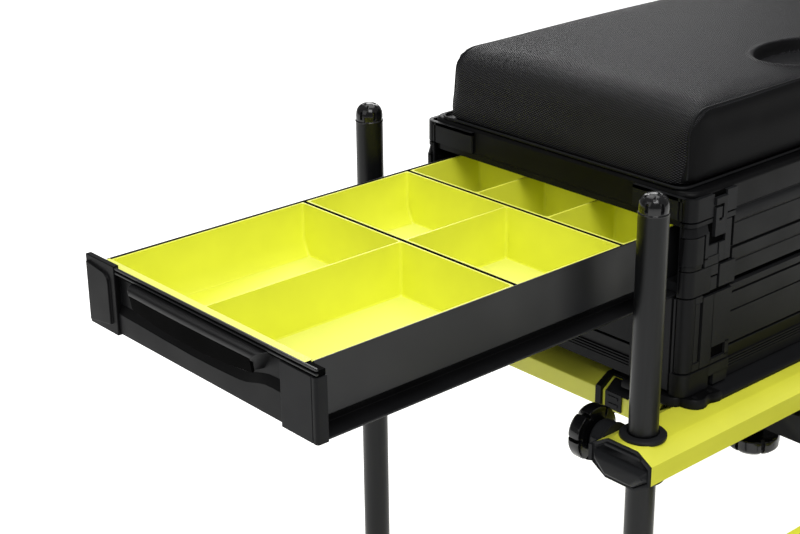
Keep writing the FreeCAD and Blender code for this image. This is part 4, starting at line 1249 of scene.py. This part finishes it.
    def panels(self, obj, mid, half, sizes):
        """Place of each point on its panel, and how far it lies inside a long side panel."""
        x, y, z = (coordinates(obj) - np.array((mid.x, mid.y, 0))).T
        drop = np.maximum(0, mid.z + half.z - z)
        r = sizes.shoulder
        over = np.abs(x) - (half.x - r)
        angle = np.arctan2(np.clip(over, 0, None), np.clip(r - drop, 1e-6, None))
        turn = half.x - r + np.where(drop < r, r * angle, r * math.pi / 2 + drop - r)
        u = np.sign(x) * np.where(over <= 0, np.abs(x), turn)
        side = np.abs(point_normals(obj)[:, 1]) - 0.707
        layer = obj.data.attributes.new("panel", "FLOAT_VECTOR", "POINT")
        layer.data.foreach_set("vector", np.stack((u, y, side), 1).astype(np.float32).ravel())

    def piping(self, lo, mid, half, sizes):
        """Bead round the foot of the cover."""
        r = sizes.piping
        plan = rounded(half.x - r, half.y - r, sizes.foot_corner, (mid.x, mid.y), 8)
        bead("seat_piping", [Vector((*p, lo.z + r + 0.2 * MM)) for p in plan], r)

    def seams(self, obj, lo, hi, mid, half, sizes):
        """Sewn edge of each long side panel, found on the cover by casting out at 45 degrees."""
        tree = BVHTree.FromPolygons([Vector(p) for p in coordinates(obj)],
                                    [tuple(p.vertices) for p in obj.data.polygons])
        r = sizes.shoulder
        ends, bends, tops = self.SEAM_STEPS
        # (x, z, way out of the cover) up one end, round its shoulder and over the top
        line = [(half.x, lo.z + (8 + k * 6) * MM, (1, 0)) for k in range(ends)]
        for k in range(bends + 1):
            a = math.pi / 2 * k / bends
            c, s = math.cos(a), math.sin(a)
            line.append((half.x - r + r * c, hi.z - r + r * s, (c, s)))
        first = line[::-1]
        line += [((half.x - r) * (1 - 2 * k / tops), hi.z, (0, 1)) for k in range(1, tops)]
        line += [(-x, z, (-out[0], out[1])) for x, z, out in first]
        inner = 16 * MM           # how far inside the cover a ray starts
        for name, side in (("front", -1), ("rear", 1)):
            points = []
            for x, z, out in line:
                start = Vector((mid.x + x - out[0] * inner, mid.y + side * (half.y - inner),
                                z - out[1] * inner))
                hit = tree.ray_cast(start, Vector((out[0], side, out[1])).normalized())[0]
                if hit is not None:
                    points.append(hit)
            bead("seat_seam_" + name, points, self.SEAM_R * MM, cyclic=False)


def seen_by(tree, *kinds):
    """1 for rays of any of these kinds, else 0."""
    rays = add(tree, "LightPath").outputs
    seen = rays[kinds[0]]
    for kind in kinds[1:]:
        seen = add(tree, "Math", {"operation": "MAXIMUM"},
                   {0: seen, 1: rays[kind]}).outputs[0]
    return seen


class SEATBOX_OT_stage(bpy.types.Operator):
    """Camera of the photograph, soft studio light and a plain pale floor"""

    bl_idname = "seatbox.stage"
    bl_label = "Camera, light and floor"
    LENS, SENSOR = 74.256, 36.0
    CAMERA = (-1.54437, -1.17377, 1.34693)
    ANGLES = (-41.31, 22.02, -0.73)       # way it looks, how far down, and its roll
    FLOOR = 9.0               # half the width of the floor, in metres
    GLOW = 0.85               # light that the floor seems to give off
    AMBIENT = 0.27
    # name, place from the middle of the box, size, power
    LAMPS = (("key", (-1.2, -1.6, 2.6), 1.6, 54), ("fill", (-2.6, 0.2, 1.4), 1.6, 10),
             ("top", (0.4, 0.8, 2.6), 2.2, 34), ("rim", (1.9, 2.2, 1.5), 1.6, 30))

    def execute(self, context):
        scene = context.scene
        self.camera(scene)
        self.floor()
        self.world(scene)
        self.lamps()
        scene.view_settings.view_transform = "Standard"
        return {"FINISHED"}

    def camera(self, scene):
        data = bpy.data.cameras.new("camera")
        data.lens, data.sensor_width = self.LENS, self.SENSOR
        data.clip_start, data.clip_end = 0.05, 40.0
        az, el, roll = (math.radians(a) for a in self.ANGLES)
        right = Vector((math.cos(az), math.sin(az), 0))
        back = Vector((math.sin(az) * math.cos(el), -math.cos(az) * math.cos(el), math.sin(el)))
        up = back.cross(right)
        c, s = math.cos(roll), math.sin(roll)
        turn = Matrix((c * right + s * up, -s * right + c * up, back)).transposed().to_4x4()
        scene.camera = linked("camera", data)
        scene.camera.matrix_world = Matrix.Translation(self.CAMERA) @ turn

    def floor(self):
        """Plain floor that is white to the eye and lights the underside only faintly."""
        bm = bmesh.new()
        bmesh.ops.create_grid(bm, x_segments=1, y_segments=1, size=self.FLOOR)
        floor = linked("floor", new_mesh("floor", bm))
        material = bpy.data.materials.new("pale_floor")
        tree = emptied(material)
        seen = seen_by(tree, "Is Camera Ray", "Is Glossy Ray", "Is Transmission Ray")
        matt = add(tree, "BsdfDiffuse", inputs={"Color": linear("#E8E8E6")}).outputs[0]
        glow = add(tree, "Emission", inputs={
            "Color": (1, 1, 1, 1), "Strength": spread(tree, seen, 0.0, self.GLOW, (0.0, 1.0))})
        total = add(tree, "AddShader", inputs={0: matt, 1: glow.outputs[0]}).outputs[0]
        add(tree, "OutputMaterial", inputs={"Surface": total})
        floor.data.materials.append(material)

    def world(self, scene):
        """White background that lights the part with a share of what the eye sees of it."""
        scene.world = bpy.data.worlds.new("studio")
        tree = emptied(scene.world)
        seen = seen_by(tree, "Is Camera Ray", "Is Transmission Ray")
        strength = spread(tree, seen, self.AMBIENT, 1.0, (0.0, 1.0))
        sky = add(tree, "Background",
                  inputs={"Color": (1, 1, 1, 1), "Strength": strength})
        add(tree, "OutputWorld", inputs={"Surface": sky.outputs[0]})

    def lamps(self):
        lo, hi = CAD_BOX
        for name, offset, size, power in self.LAMPS:
            data = bpy.data.lights.new(name, "AREA")
            data.shape, data.size, data.energy = "SQUARE", size, power
            lamp = linked(name, data)
            lamp.location = (lo + hi) / 2 + Vector(offset)
            lamp.rotation_mode = "QUATERNION"
            lamp.rotation_quaternion = Vector(offset).to_track_quat("Z", "Y")


class SEATBOX_PT_panel(bpy.types.Panel):
    """Pieces of the seat box"""

    bl_label = "Seat box"
    bl_idname = "SEATBOX_PT_panel"
    bl_space_type = "VIEW_3D"
    bl_region_type = "UI"
    bl_category = "Seat box"

    def draw(self, context):
        for group in (context.scene.seat_box_colours, context.scene.seat_box_sizes):
            box = self.layout.box()
            for key in group.bl_rna.properties.keys():
                if key not in ("rna_type", "name"):
                    box.prop(group, key)
        for op in STEPS:
            self.layout.operator(op.bl_idname)


STEPS = (SEATBOX_OT_finishes, SEATBOX_OT_trays, SEATBOX_OT_drawer_front, SEATBOX_OT_castings,
         SEATBOX_OT_planks, SEATBOX_OT_beam_ends, SEATBOX_OT_brackets, SEATBOX_OT_hardware,
         SEATBOX_OT_cushion, SEATBOX_OT_stage)
CLASSES = (SeatBoxColours, SeatBoxSizes, *STEPS, SEATBOX_PT_panel)


def register():
    for cls in CLASSES:
        bpy.utils.register_class(cls)
    bpy.types.Scene.seat_box_colours = bpy.props.PointerProperty(type=SeatBoxColours)
    bpy.types.Scene.seat_box_sizes = bpy.props.PointerProperty(type=SeatBoxSizes)


def unregister():
    del bpy.types.Scene.seat_box_sizes
    del bpy.types.Scene.seat_box_colours
    for cls in reversed(CLASSES):
        bpy.utils.unregister_class(cls)


def main():
    register()
    for op in STEPS:
        group, call = op.bl_idname.split(".")
        getattr(getattr(bpy.ops, group), call)()


if __name__ == "__main__":
    main()
